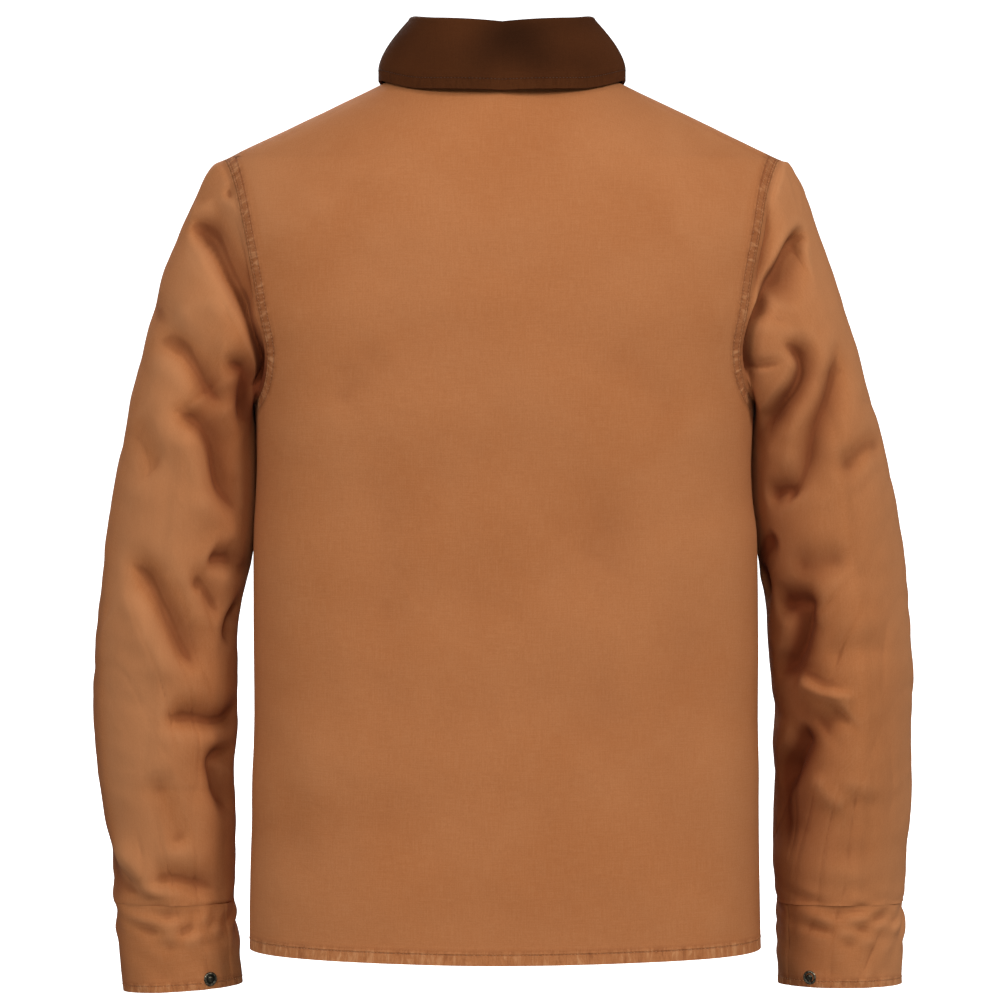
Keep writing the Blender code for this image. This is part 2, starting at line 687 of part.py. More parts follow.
def main():
    for thing in list(bpy.data.objects):
        bpy.data.objects.remove(thing, do_unlink=True)
    canvas, brown, metal = (make_material(name) for name in ("canvas", "collar", "snap"))
    backs = {side: half_panel(side, 1) for side in (1, -1)}
    fronts = {side: half_panel(side, -1) for side in (1, -1)}
    objects = body_objects(backs, fronts, canvas)
    for side, word in ((1, "left"), (-1, "right")):
        grid = sleeve_grid(side, backs[side], fronts[side])
        objects.append(sheet(f"sleeve_{word}", grid, CANVAS, canvas, ring=True, flip=side < 0))
        objects.append(sheet(f"cuff_{word}", cuff_grid(side), CANVAS, canvas, flip=side > 0))
    points = neckline(backs, fronts)
    objects.append(sheet("collar_stand", stand_grid(points), COLLAR_CLOTH, brown, flip=True))
    objects.append(sheet("collar_fall", leaf_grid(points), COLLAR_CLOTH, brown))
    caps = snap_mesh(metal)
    objects.extend(front_snaps(fronts[1], caps))
    objects.append(cuff_snap(1, "snap_cuff_left", caps))
    objects.append(cuff_snap(-1, "snap_cuff_right", caps))
    collection = bpy.data.collections.new("jacket")
    bpy.context.scene.collection.children.link(collection)
    for thing in objects:
        collection.objects.link(thing)


main()
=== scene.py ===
"""Looks of the canvas work jacket, in its worn shape.

Frame: metres, +Z up, back +Y, wearer's left +X, origin in the middle of the neck opening.
The surfaces are the CAD's at a finer density, with slimmer shoulder tips and under-arms,
deeper folds, seams and thread. Tables are in millimetres and degrees. `side` is +1 for the
wearer's left and -1 for the right; `face` is +1 for the back of the body and -1 for its
front.
"""

import math

import bmesh
import bpy
import numpy as np
from mathutils import Matrix, Vector
from mathutils.bvhtree import BVHTree


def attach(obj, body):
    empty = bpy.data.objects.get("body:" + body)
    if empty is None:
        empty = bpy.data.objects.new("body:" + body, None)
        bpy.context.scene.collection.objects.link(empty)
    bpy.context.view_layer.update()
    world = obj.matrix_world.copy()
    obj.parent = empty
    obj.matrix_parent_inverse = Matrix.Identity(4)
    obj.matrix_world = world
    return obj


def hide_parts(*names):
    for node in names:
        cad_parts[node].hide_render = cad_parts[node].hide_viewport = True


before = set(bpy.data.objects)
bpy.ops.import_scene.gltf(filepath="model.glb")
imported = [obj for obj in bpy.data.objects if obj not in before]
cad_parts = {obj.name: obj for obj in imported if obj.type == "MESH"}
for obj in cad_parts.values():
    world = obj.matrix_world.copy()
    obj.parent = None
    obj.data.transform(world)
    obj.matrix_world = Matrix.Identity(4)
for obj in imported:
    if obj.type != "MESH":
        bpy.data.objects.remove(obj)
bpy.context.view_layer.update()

MM = 0.001
SIDE_WORD = {1: "left", -1: "right"}

# -------- sizes

CANVAS = 1.6 * MM
COLLAR_CLOTH = 2.4 * MM
SLEEVE_GAP = 0.15 * MM
CUFF_GAP = 0.1 * MM
COLLAR_GAP = 1.0 * MM

NECK_POINT = (80 * MM, 8 * MM)
SHOULDER_TIP = (222 * MM, -60 * MM)
BACK_NECK_DROP = 13 * MM
FRONT_NECK_DROP = 70 * MM
NECK_DROP_FROM = -225 * MM
HEM = -688 * MM
HEM_DIP = 5 * MM

ARMHOLE_MIDDLE = -185 * MM
ARMHOLE_RISE = 125 * MM
ARMHOLE_DROP = 70 * MM
ARMHOLE_DEPTH = {1: 68 * MM, -1: 76 * MM}
ARMHOLE_ROUNDNESS = (1.2, 0.5)

LAP_HALF = 15 * MM
LAP_GAP = 0.5 * MM

SLEEVE_TOP = -290 * MM
CUFF_TOP = -655 * MM
CUFF_BOTTOM = {1: -724 * MM, -1: -721 * MM}
CUFF_TILT = {1: 3 * MM, -1: 0.0}
CUFF_LAP = (-10, -58)
CUFF_PROUD = 1.0 * MM
CUFF_LAP_GAP = 0.3 * MM
CUFF_LAP_EDGE = math.radians(4)
CUFF_TUCK, CUFF_TUCK_SHARE = 0.35, 0.4  # how far its top tucks in, and over how much of it
FRONT_SNAP_COUNT = 6

SETTING_STRIP = 3 * MM
SETTING_PASSES = 60
CAP_START_PULL = 0.45
CAP_TIP_PULL = {1: 0.36, -1: 0.20}
CAP_UNDER_PULL = 0.10
CAP_END_PULL = 0.90
UNDER_ARM_SPAN = 70
UNDER_ARM_LEAN = 0.3

BODY_SQUARENESS = 2.6
ARMHOLE_CROWDING = 0.7  # below 1, rows crowd towards the shoulder tip
NECK_SQUARENESS = {1: 1.5, -1: 3}
SHOULDER_ROUND = 90 * MM
SHOULDER_FULLNESS = 2.2
LEAF_ROLL = 0.80  # the share of the leaf's fall over which it flares out
LEAF_CURVE = 1.6
LEAF_FOLD_ANGLES = (-0.25 * math.pi, 0.42 * math.pi)
LEAF_FOLD_STEPS = 9
LEAF_FOLD_MIDDLE = 2 * MM  # its round's middle, out from the stand's fold
LEAF_FOLD_ROUND = (4.5 * MM, 4.0 * MM)  # how far the round reaches out and up
LEAF_START = (6.4 * MM, 3.2 * MM)  # out from the fold, and below it

TORSO = (
    ("height", "left", "right", "back", "front"),
    (8, 232, 232, 70, 52),
    (-10, 232, 232, 76, 57),
    (-30, 232, 232, 84, 64),
    (-60, 232, 232, 94, 78),
    (-92, 230, 230, 101, 92),
    (-124, 226, 227, 107, 101),
    (-156, 221, 222, 110, 107),
    (-188, 214, 216, 112, 111),
    (-220, 203, 206, 112, 115),
    (-255, 197, 201, 111, 118),
    (-300, 196, 199, 108, 119),
    (-330, 197, 200, 106, 118),
    (-360, 198.5, 203, 104, 118),
    (-420, 198.5, 204.5, 102, 117),
    (-500, 198, 204.5, 101, 116),
    (-560, 199, 205, 101, 115),
    (-640, 201, 206, 103, 114),
    (-700, 201, 207, 104, 113),
)

SLEEVE = (
    ("height", "left_outer", "left_inner", "right_outer", "right_inner", "middle", "half_depth"),
    (-290, 305, 196.2, 306, 199.2, -6, 66),
    (-332, 313, 196.8, 316, 199.9, -9, 65),
    (-360, 317, 198.3, 320, 202.8, -11, 64.5),
    (-380, 319, 201, 323, 206, -12, 64),
    (-412, 323, 209, 327, 212, -14, 63),
    (-444, 327, 213, 329, 213, -16, 62),
    (-476, 329, 213, 331, 216, -18, 61),
    (-508, 328, 213, 330, 220, -20, 59),
    (-540, 326, 216, 330, 219, -22, 57),
    (-588, 321, 215, 329, 218, -24, 53),
    (-620, 317, 215, 326, 218, -25, 50),
    (-652, 313, 215, 324, 221, -26, 46),
    (-690, 308, 213, 323, 223, -27, 43),
    (-730, 305, 210, 322, 223, -28, 41),
)

COLLAR = (
    ("turn", "fold_radius", "fold_height", "edge_radius", "edge_height"),
    (0, 62, 43.5, 79, -12),
    (45, 70, 48, 88, -9),
    (90, 69, 54, 99, 3),
    (112, 69, 38, 98, -6),
    (135, 70, 12, 98, -42),
    (180, 72, -28, 104, -100),
)
COLLAR_SPREAD = 3

# How many strips each stretch of a panel is cut into here: centre line to the armhole,
# under the arm, hem to the under-arm, up the armhole, and on to the neck.
BODY_MESH = (84, 18, 120, 66, 24)
SLEEVE_STRIPS = 236
CAP_ROWS = 84
TUBE_ROWS = 190
CUFF_ROWS = 34
CUFF_STRIPS = 200
LAP_STRIPS = 24
STAND_ROWS = 20
LEAF_ROWS = 44

# -------- folds
# Each fold: half width, depth (out + or in -), lean, and the points it runs through,
# (degrees round the sleeve, height). A deep fold is a V with cloth standing a little proud
# beside it; lean above 0 makes the outer side of it steeper and prouder, below 0 the inner.
# A shallow fold, or a raised one with no lean, is rounded.

SLEEVE_FOLDS = {1: (
    (14, -17, 1.0, (75, -108), (70, -113), (57, -122), (45, -131), (37, -139), (30, -146),
     (23, -156), (17, -163), (10, -174), (5, -183), (-3, -195)),
    (5, -13, 0.8, (17, -163), (12, -171), (5, -183), (-5, -198), (-21, -214), (-45, -234),
     (-62, -251), (-76, -268)),
    (22, 4, 0, (57, -126), (37, -146), (21, -167), (10, -188), (1, -210), (-12, -229)),
    (9, 3, 0, (81, -104), (70, -104), (50, -105)),
    (6, -3.5, 0, (57, -80), (54, -86), (50, -97)),
    (12, -3.6, 0, (96, -168), (81, -178), (65, -186), (46, -191), (30, -192)),
    (10, -8.4, 0.3, (66, -202), (45, -206), (28, -213), (15, -224), (6, -235), (-6, -247),
     (-23, -255), (-35, -262)),
    (10, -9.8, 0.3, (-1, -221), (-12, -224), (-28, -234), (-36, -246), (-48, -260), (-62, -272),
     (-74, -284)),
    (12, -11.2, 0.3, (28, -259), (12, -261), (-3, -269), (-15, -277), (-26, -288), (-30, -302),
     (-34, -317), (-41, -329), (-54, -341), (-68, -350)),
    (14, 4, 0, (8, -268), (-6, -288), (-14, -311), (-21, -336), (-28, -357)),
    (14, -3.5, 0, (56, -262), (40, -283), (28, -300), (15, -322)),
    (9, -8.4, 0.3, (-26, -377), (-41, -381), (-59, -381), (-88, -387)),
    (9, -5.6, 0.2, (-17, -402), (-28, -399), (-41, -412), (-54, -427)),
    (12, -11.2, 0.3, (46, -378), (28, -387), (15, -399), (3, -417), (-10, -432), (-19, -448),
     (-28, -460), (-35, -472)),
    (14, 4, 0, (32, -400), (15, -427), (1, -455), (-15, -482)),
    (10, -8.4, 0.3, (1, -502), (-12, -505), (-28, -505), (-45, -509), (-65, -509), (-83, -500),
     (-90, -488)),
    (10, -9.8, 0.2, (-90, -530), (-66, -533), (-48, -539), (-52, -548), (-55, -561), (-66, -576),
     (-81, -588)),
    (12, 5, 0, (63, -603), (43, -615), (30, -627), (17, -639), (3, -652), (-19, -655)),
    (16, -4.4, 0, (104, -590), (83, -612), (66, -632), (41, -644), (19, -650)),
    (9, -5.6, 0.2, (25, -636), (-1, -634), (-25, -637), (-66, -643)),
    (12, -4.2, 0, (8, -545), (-3, -570), (-12, -597), (-17, -612)),
    (7, -7, 0, (-88, -412), (-70, -424), (-66, -436), (-68, -451)),
    (20, -3.6, 0, (112, -290), (150, -335), (190, -366), (232, -376)),
    (18, -3.2, 0, (100, -425), (145, -452), (195, -464), (238, -458)),
    (18, -3.0, 0, (118, -575), (160, -545), (205, -528), (236, -530)),
), -1: (
    (7, -6, 0, (54, -85), (43, -100), (35, -117), (25, -135), (14, -156), (3, -179)),
    (14, -14, -0.8, (61, -126), (59, -123), (54, -121), (46, -126), (35, -136), (25, -149),
     (17, -159), (10, -169), (5, -179)),
    (5, -12, -0.6, (14, -164), (8, -173), (3, -183), (-8, -196), (-25, -214), (-48, -237),
     (-80, -258)),
    (9, -13, -0.6, (3, -204), (5, -211), (8, -218), (8, -225), (1, -235), (-12, -247),
     (-28, -256), (-46, -269), (-65, -281), (-86, -296)),
    (15, 5, 0, (5, -185), (-8, -209), (-19, -228)),
    (10, -8.4, -0.3, (55, -200), (37, -223), (23, -244), (6, -263), (-10, -281), (-15, -301),
     (-23, -317), (-30, -338)),
    (10, -4.2, -0.2, (83, -286), (54, -287), (34, -293), (19, -305), (6, -317)),
    (9, -7, -0.2, (-57, -333), (-45, -326), (-32, -326), (-26, -332)),
    (7, -12.6, -0.3, (-54, -354), (-61, -366), (-77, -381), (-81, -396), (-75, -415)),
    (13, -4.4, 0, (-43, -384), (-23, -384), (-5, -381), (22, -372)),
    (9, -9.8, -0.3, (-65, -415), (-48, -415), (-34, -414), (-15, -414)),
    (9, -11.2, -0.3, (-23, -414), (-34, -426), (-37, -438), (-46, -454), (-59, -466),
     (-74, -478)),
    (12, -3.4, 0, (-22, -453), (-6, -451), (8, -450), (26, -448), (42, -444)),
    (10, 7, 0.7, (-48, -472), (-34, -478), (-22, -483), (-10, -485), (8, -487)),
    (12, -4.4, 0, (-2, -497), (-14, -508), (-28, -520)),
    (9, -11.2, -0.3, (-41, -508), (-45, -524), (-54, -536), (-65, -549), (-75, -564)),
    (9, 4, 0, (-30, -545), (-23, -561), (-10, -570), (3, -576)),
    (20, -4, 0, (10, -556), (3, -580), (5, -607), (3, -632)),
    (24, 5, 0, (4, -360), (10, -430), (8, -500), (6, -580), (8, -645)),
    (20, -4, 0, (-38, -380), (-36, -460), (-34, -560), (-36, -640)),
    (14, -5.6, 0, (-63, -524), (-66, -573), (-55, -618)),
    (20, -3.4, 0, (108, -270), (145, -322), (188, -350), (236, -362)),
    (18, -3.4, 0, (104, -400), (150, -418), (200, -446), (240, -470)),
    (20, -3.0, 0, (110, -600), (150, -578), (200, -548), (238, -520)),
)}

# The body's folds run through (x, height).
BODY_FOLDS = {1: (
    (20, -1.2, 0, (90, -70), (115, -110), (140, -160), (172, -200)),
    (20, -1.2, 0, (-90, -70), (-115, -110), (-140, -160), (-176, -198)),
    (16, -1.6, 0, (90, -212), (115, -240), (135, -270)),
    (16, -1.6, 0, (-80, -212), (-115, -245), (-145, -285)),
    (22, -2.0, 0, (92, -300), (88, -420), (94, -560)),
    (22, -2.0, 0, (-80, -300), (-84, -420), (-78, -560)),
    (30, -1.6, 0, (-152, -380), (-146, -480), (-142, -590), (-148, -680)),
    (16, -1.8, 0, (190, -500), (170, -560), (160, -640)),
), -1: (
    (18, -2.5, 0, (60, -120), (100, -170), (150, -215)),
    (18, -2.5, 0, (-60, -120), (-100, -170), (-150, -215)),
    (18, -2.5, 0, (150, -260), (110, -330), (90, -420)),
    (18, -2.5, 0, (-150, -260), (-105, -330), (-95, -410)),
    (18, -2.5, 0, (160, -420), (130, -520), (140, -620)),
    (18, -2.5, 0, (-150, -430), (-135, -520), (-145, -610)),
)}

# -------- seams
# Each: how wide the doubled band beside the edge is, how much darker the band is, and the
# distances of its stitch rows from the edge.
ARMHOLE_ROWS = (1.7 * MM, 7.4 * MM)
HEM_ROW, CUFF_ROW, PLACKET_ROW, LEAF_ROW = 8.3 * MM, 5.3 * MM, 2.0 * MM, 8.4 * MM
PLACKET_WIDTH = 28 * MM
ARMHOLE_SEAM = (8.6 * MM, 0.30, ARMHOLE_ROWS)
HEM_SEAM = (10 * MM, 0.0, (HEM_ROW,))
CUFF_SEAM = (6.4 * MM, 0.0, (CUFF_ROW,))
PLACKET_SEAM = (3.0 * MM, 0.0, (PLACKET_ROW,))
LEAF_SEAM = (9.2 * MM, 0.0, (LEAF_ROW,))
PLAIN_SEAM = (0.8 * MM, 0.45, ())
SLEEVE_SEAM = (0.5 * MM, 0.0, ())

# -------- table reading


def column(table, name, at):
    """One named column of a table at the places `at`, smooth and without overshoot."""
    names = table[0]
    rows = np.array(table[1:], dtype=float)
    rows = rows[np.argsort(rows[:, 0])]
    scale = 1.0 if names[0] == "turn" else MM
    knots = rows[:, 0] * scale
    values = rows[:, names.index(name)] * MM
    step = np.diff(knots)
    slope = np.diff(values) / step
    pair = slope[:-1] * slope[1:]
    total = slope[:-1] + slope[1:]
    bend = np.where(pair > 0, 2 * pair / np.where(total == 0, 1, total), 0.0)
    tangent = np.concatenate((slope[:1], bend, slope[-1:]))
    at = np.clip(np.asarray(at, dtype=float), knots[0], knots[-1])
    cell = np.clip(np.searchsorted(knots, at) - 1, 0, len(step) - 1)
    t = (at - knots[cell]) / step[cell]
    rise = (values[cell + 1] - values[cell]) * t * t * (3 - 2 * t)
    lean = tangent[cell] * t * (1 - t) ** 2 - tangent[cell + 1] * t * t * (1 - t)
    return values[cell] + rise + lean * step[cell]


def join(*parts):
    """Coordinates joined into points; single numbers are repeated."""
    return np.stack(np.broadcast_arrays(*parts), axis=-1)


def unit(vectors):
    return vectors / np.maximum(np.linalg.norm(vectors, axis=-1, keepdims=True), 1e-12)


def smooth(t):
    t = np.clip(t, 0, 1)
    return t * t * (3 - 2 * t)


def bell(values, middle, width):
    return np.exp(-(((values - middle) / width) ** 2))


WAVES = 28  # in one ripple


def ripple(u, v, wavelength, seed, stretch=(1.0, 1.0)):
    """Even, seeded waves of about one wavelength in every direction; about -1 to 1."""
    random = np.random.default_rng(seed)
    total = np.zeros(np.broadcast(u, v).shape)
    for _ in range(WAVES):
        angle, phase = random.uniform(0, 2 * math.pi, 2)
        pitch = wavelength * random.uniform(0.7, 1.6)
        wave = u * math.cos(angle) / stretch[0] + v * math.sin(angle) / stretch[1]
        total += np.sin(2 * math.pi * wave / pitch + phase)
    return total / math.sqrt(WAVES)


# -------- folds


PATH_STEPS = 28  # in a fold's path


def smooth_path(path):
    """A path's points joined by one smooth (Catmull-Rom) curve."""
    path = np.array(path, dtype=float)
    knots = np.concatenate((2 * path[:1] - path[1:2], path, 2 * path[-1:] - path[-2:-1]))
    result = []
    for t in np.linspace(0, len(path) - 1 - 1e-9, PATH_STEPS):
        i, f = int(t), t - int(t)
        a, b, c, d = knots[i : i + 4]
        bend = (2 * a - 5 * b + 4 * c - d) * f * f + (3 * b - a - 3 * c + d) * f**3
        result.append(0.5 * (2 * b + (c - a) * f + bend))
    return np.array(result)


SHALLOW = 4.5 * MM  # folds less deep than this are rounded
SHARP_STRETCH = (1.3, 1.2)  # a V fold's half width and depth, times the table's
FOLD_REACH = 4  # half widths
FOLD_FADES = (0.26, 0.32)  # the share of its length over which a fold's ends fade
STEEPEST = 0.2
V_DEPTH, V_ROUND = 1.06, 0.12  # a V's own depth, and how round its bottom is
PROUD_AT, PROUD_WIDTH = 2.2, 2.0  # where the cloth beside a V stands proud, in half widths
PROUD, PROUD_LEAN = 0.04, 0.22  # how proud, and how much more for a full lean


def fold_height(points, normals, line, fold, turned=1.0, soft=False):
    """How far one fold along a line of points moves each of the given points, in metres.
    turned is the side its + side lies on."""
    half_width, depth, lean = fold[0] * MM, fold[1] * MM, fold[2]
    soft = soft or -SHALLOW < depth <= 0 or (depth > 0 and lean == 0)
    if not soft:
        half_width, depth = SHARP_STRETCH[0] * half_width, SHARP_STRETCH[1] * depth
    reach = FOLD_REACH * half_width
    low, high = line.min(axis=0) - reach, line.max(axis=0) + reach
    inside = np.flatnonzero(np.all((points > low) & (points < high), axis=1))
    near, facing = points[inside], normals[inside]
    best = np.full(len(inside), np.inf)
    sign = np.zeros(len(inside))
    share = np.zeros(len(inside))
    for index, (a, b) in enumerate(zip(line, line[1:])):
        run = b - a
        t = np.clip((near - a) @ run / (run @ run), 0, 1)
        offset = near - a - t[:, None] * run
        distance = np.linalg.norm(offset, axis=1)
        closer = distance < best
        best = np.where(closer, distance, best)
        beside = np.sign(np.sum(offset * np.cross(facing, run), axis=1))
        sign = np.where(closer, -turned * beside, sign)
        share = np.where(closer, (index + t) / (len(line) - 1), share)
    fade = smooth(share / FOLD_FADES[0]) * smooth((1 - share) / FOLD_FADES[1])
    s = best / half_width * sign
    if soft:
        moved = bell(s, 0, 1)
    else:
        s *= -1 if lean < 0 else 1
        steep = np.where(s > 0, max(STEEPEST, 1 - abs(lean)), 1.0)
        trough = np.clip(V_DEPTH - np.hypot(s / steep, V_ROUND) / 2, 0, 1) ** 2
        proud = (PROUD + PROUD_LEAN * abs(lean)) * bell(s, PROUD_AT, PROUD_WIDTH)
        moved = trough - (proud if depth < 0 else 0)
    result = np.zeros(len(points))
    result[inside] = depth * fade * moved
    return result


def fold_normals(grid, ring):
    """Unit normals of a grid; a ring closes round on itself."""
    if ring:
        across = np.roll(grid, -1, axis=1) - np.roll(grid, 1, axis=1)
    else:
        across = np.gradient(grid, axis=1)
    return unit(np.cross(across, np.gradient(grid, axis=0)))


# -------- torso


def torso_width(side, height):
    return column(TORSO, SIDE_WORD[side], height)


def torso_depth(face, height):
    return column(TORSO, "back" if face > 0 else "front", height)


def section_depth(side, face, x, height):
    ratio = np.clip(np.abs(x) / torso_width(side, height), 0, 1) ** BODY_SQUARENESS
    return torso_depth(face, height) * (1 - ratio) ** (1 / BODY_SQUARENESS)


def shoulder_height(x):
    slope = (SHOULDER_TIP[1] - NECK_POINT[1]) / (SHOULDER_TIP[0] - NECK_POINT[0])
    return NECK_POINT[1] + (np.abs(x) - NECK_POINT[0]) * slope


def torso_point(side, face, swing, height):
    """A point of the body's outer face; swing is 0 at the centre line."""
    power = BODY_SQUARENESS
    along = np.abs(np.cos(swing)) / torso_depth(face, height)
    across = np.abs(np.sin(swing)) / torso_width(side, height)
    reach = (along**power + across**power) ** (-1 / power)
    x = side * reach * np.sin(swing)
    below = np.clip((shoulder_height(x) - height) / SHOULDER_ROUND, 0, 1)
    roof = (1 - (1 - below) ** SHOULDER_FULLNESS) ** (1 / SHOULDER_FULLNESS)
    y = face * reach * np.cos(swing) * roof
    return join(x, y, height)


def armhole_edge(side, face, lift):
    """Swing and height of the armhole's edge, lift running from under the arm up."""
    rise, run = np.sin(lift), np.clip(np.cos(lift), 0, 1)
    upper = rise >= 0
    height = ARMHOLE_MIDDLE + rise * np.where(upper, ARMHOLE_RISE, ARMHOLE_DROP)
    tip = np.where(upper, section_depth(side, face, *SHOULDER_TIP), 0.0)
    depth = tip + (ARMHOLE_DEPTH[face] - tip) * run ** np.where(upper, *ARMHOLE_ROUNDNESS)
    ratio = (depth / torso_depth(face, height)) ** BODY_SQUARENESS
    width = torso_width(side, height) * (1 - ratio) ** (1 / BODY_SQUARENESS)
    return np.arctan2(width, depth), height


def shoulder_edge(side, face, height):
    """Swing of the shoulder seam at one height."""
    slope = (SHOULDER_TIP[0] - NECK_POINT[0]) / (SHOULDER_TIP[1] - NECK_POINT[1])
    x = NECK_POINT[0] + (height - NECK_POINT[1]) * slope
    return np.arctan2(x, section_depth(side, face, x, height))


def half_panel(side, face):
    """One half of a body panel, rows from the hem up, columns from the centre line."""
    inner, under_strips, low, arm, above = BODY_MESH
    angles = np.linspace(-math.pi / 2, math.pi / 2, under_strips + arm + 1)
    turning = math.pi / 2 - angles[under_strips]
    crowded = 1 - np.linspace(1, 0, arm + 1) ** ARMHOLE_CROWDING
    angles[under_strips:] += turning * (crowded - np.linspace(0, 1, arm + 1))
    edge_swing, edge_height = armhole_edge(side, face, angles)
    columns = inner + under_strips
    share = np.linspace(0, 1, inner + 1)

    def start(height):
        """Swing where the panel begins: at the centre line, or at the front's lap."""
        return (0.0 if face > 0 else LAP_HALF) / torso_depth(face, height)

    def swings(height, edge):
        return start(height) + share * (edge - start(height))

    drop = BACK_NECK_DROP if face > 0 else FRONT_NECK_DROP
    neck_line = drop * (1 - share**2) ** NECK_SQUARENESS[face]
    tops = np.linspace(SHOULDER_TIP[1], NECK_POINT[1], above + 1)[1:]
    row_height = np.concatenate((edge_height[under_strips:], tops))
    row_edge = np.concatenate((edge_swing[under_strips:], shoulder_edge(side, face, tops)))
    grid = np.full((low + arm + above + 1, columns + 1, 3), np.nan)
    for index, (height, edge) in enumerate(zip(row_height, row_edge)):
        follow = max(0.0, (height - NECK_DROP_FROM) / (NECK_POINT[1] - NECK_DROP_FROM))
        heights = height - neck_line * follow
        swing = swings(heights, edge)
        grid[low + index, : inner + 1] = torso_point(side, face, swing, heights)

    split = (edge_height[under_strips], edge_swing[under_strips])
    under = slice(under_strips, None, -1)
    top_height = np.concatenate((np.full(inner, split[0]), edge_height[under]))
    top_swing = np.concatenate((swings(*split)[:-1], edge_swing[under]))
    even = np.arange(columns + 1) / columns
    hem_swing = start(HEM) + even * (math.pi / 2 - start(HEM))
    hem_height = HEM - HEM_DIP * np.cos(hem_swing)
    for index in range(low + 1):
        up = index / low
        heights = hem_height + up * (top_height - hem_height)
        swing = hem_swing + up * (top_swing - hem_swing)
        swing[0] = start(heights[0])
        grid[index] = torso_point(side, face, swing, heights)
    return grid


def armhole_line(side, face, angles):
    """The armhole's edge points, and beside each of them a neighbour on the panel."""
    swing, height = armhole_edge(side, face, angles)
    edge = torso_point(side, face, swing, height)
    in_line = smooth((angles + math.pi / 2) / (math.pi / 2))
    beside = torso_point(side, face, swing - 0.02 * in_line, height - 4 * MM * (1 - in_line))
    return edge, beside


# -------- sleeves


def sleeve_ring(side, around, height):
    """A point of the hanging sleeve; around is -90 degrees next to the body, 0 at the back,
    90 at the outer edge and 180 at the front."""
    word = SIDE_WORD[side]
    outer, inner, middle, half_depth = (
        column(SLEEVE, name, height)
        for name in (f"{word}_outer", f"{word}_inner", "middle", "half_depth")
    )
    x = side * ((outer + inner) / 2 + (outer - inner) / 2 * np.sin(around))
    y = middle + half_depth * np.cos(around)
    return join(x, y, height)


def setting_directions(side, edge, beside, lift):
    """The way the sleeve leaves each armhole point."""
    along = np.roll(edge, -2, axis=0) - np.roll(edge, 2, axis=0)
    outwards = edge - beside
    normal = np.cross(along, outwards)
    away = unit(np.cross(normal, along))
    away *= np.sign(np.sum(away * outwards, axis=1, keepdims=True))
    lean = UNDER_ARM_LEAN * edge[:, 1] / edge[:, 0] * side
    straight = unit(join(side, lean, 0))
    blend = smooth((lift + math.pi / 2) / math.radians(UNDER_ARM_SPAN))[:, None]
    return unit(away * blend + straight * (1 - blend))


def on_sleeve(grid, path):
    """Points of an unfolded sleeve at a path's (degrees round, height) places."""
    count = grid.shape[1]
    line = []
    for degrees, height in smooth_path(path):
        at = (degrees + 90) / 360 * count
        pair = []
        for column_number in (math.floor(at), math.floor(at) + 1):
            points = grid[:, column_number % count]
            pair.append(points[np.abs(points[:, 2] - height * MM).argmin()])
        line.append(pair[0] + (pair[1] - pair[0]) * (at % 1))
    line = np.array(line)
    for _ in range(8):
        line[1:-1] = (line[:-2] + 2 * line[1:-1] + line[2:]) / 4
    return line


def even_out(values, passes):
    """Average each point of a closed ring with its neighbours."""
    for _ in range(passes):
        values = (np.roll(values, 1, axis=0) + 2 * values + np.roll(values, -1, axis=0)) / 4
    return values


def sleeve_grid(side):
    """Points of a sleeve before folding, rows from the armhole down; its angles; and the
    armhole's edge."""
    up = np.linspace(-math.pi / 2, math.pi / 2, SLEEVE_STRIPS // 2 + 1)
    down = up[-2:0:-1]
    halves = zip(armhole_line(side, 1, up), armhole_line(side, -1, down))
    edge, beside = (np.concatenate(pair) for pair in halves)
    lift = np.concatenate((up, down))
    around = np.concatenate((up, math.pi - down))
    direction = setting_directions(side, edge, beside, lift)
    direction = unit(even_out(direction, SETTING_PASSES))
    start = edge + direction * (SLEEVE_GAP + SETTING_STRIP)
    end = sleeve_ring(side, around, np.full(len(around), SLEEVE_TOP))
    below = sleeve_ring(side, around, np.full(len(around), SLEEVE_TOP - MM))
    span = np.linalg.norm(end - start, axis=1, keepdims=True)
    near_tip = np.clip(np.sin(lift), 0, 1)[:, None] ** 4
    near_under = np.clip(-np.sin(lift), 0, 1)[:, None] ** 3
    pull = CAP_START_PULL + (CAP_TIP_PULL[side] - CAP_START_PULL) * near_tip
    start_pull = direction * span * (pull + (CAP_UNDER_PULL - CAP_START_PULL) * near_under)
    end_pull = unit(below - end) * span * CAP_END_PULL
    rows = [edge + direction * SLEEVE_GAP]
    for t in np.linspace(0, 1, CAP_ROWS + 1):
        ends = start + (end - start) * t * t * (3 - 2 * t)
        rows.append(ends + start_pull * t * (1 - t) ** 2 - end_pull * t * t * (1 - t))
    for height in np.linspace(SLEEVE_TOP, CUFF_TOP, TUBE_ROWS + 1)[1:]:
        rows.append(sleeve_ring(side, around, np.full(len(around), height)))
    return np.array(rows), around, edge


# -------- cuffs


def cuff_point(side, around, height, proud):
    """A point of the cuff's outer face, `proud` of the sleeve's own section."""
    base = sleeve_ring(side, around, height)
    ahead, behind = (sleeve_ring(side, around + turn, height) for turn in (0.01, -0.01))
    step = ahead - behind
    out = unit(join(-step[..., 1], step[..., 0], 0)) * side
    return base + out * np.asarray(proud)[..., None]


def cuff_bottom(side, around):
    return CUFF_BOTTOM[side] - CUFF_TILT[side] * np.sin(around)


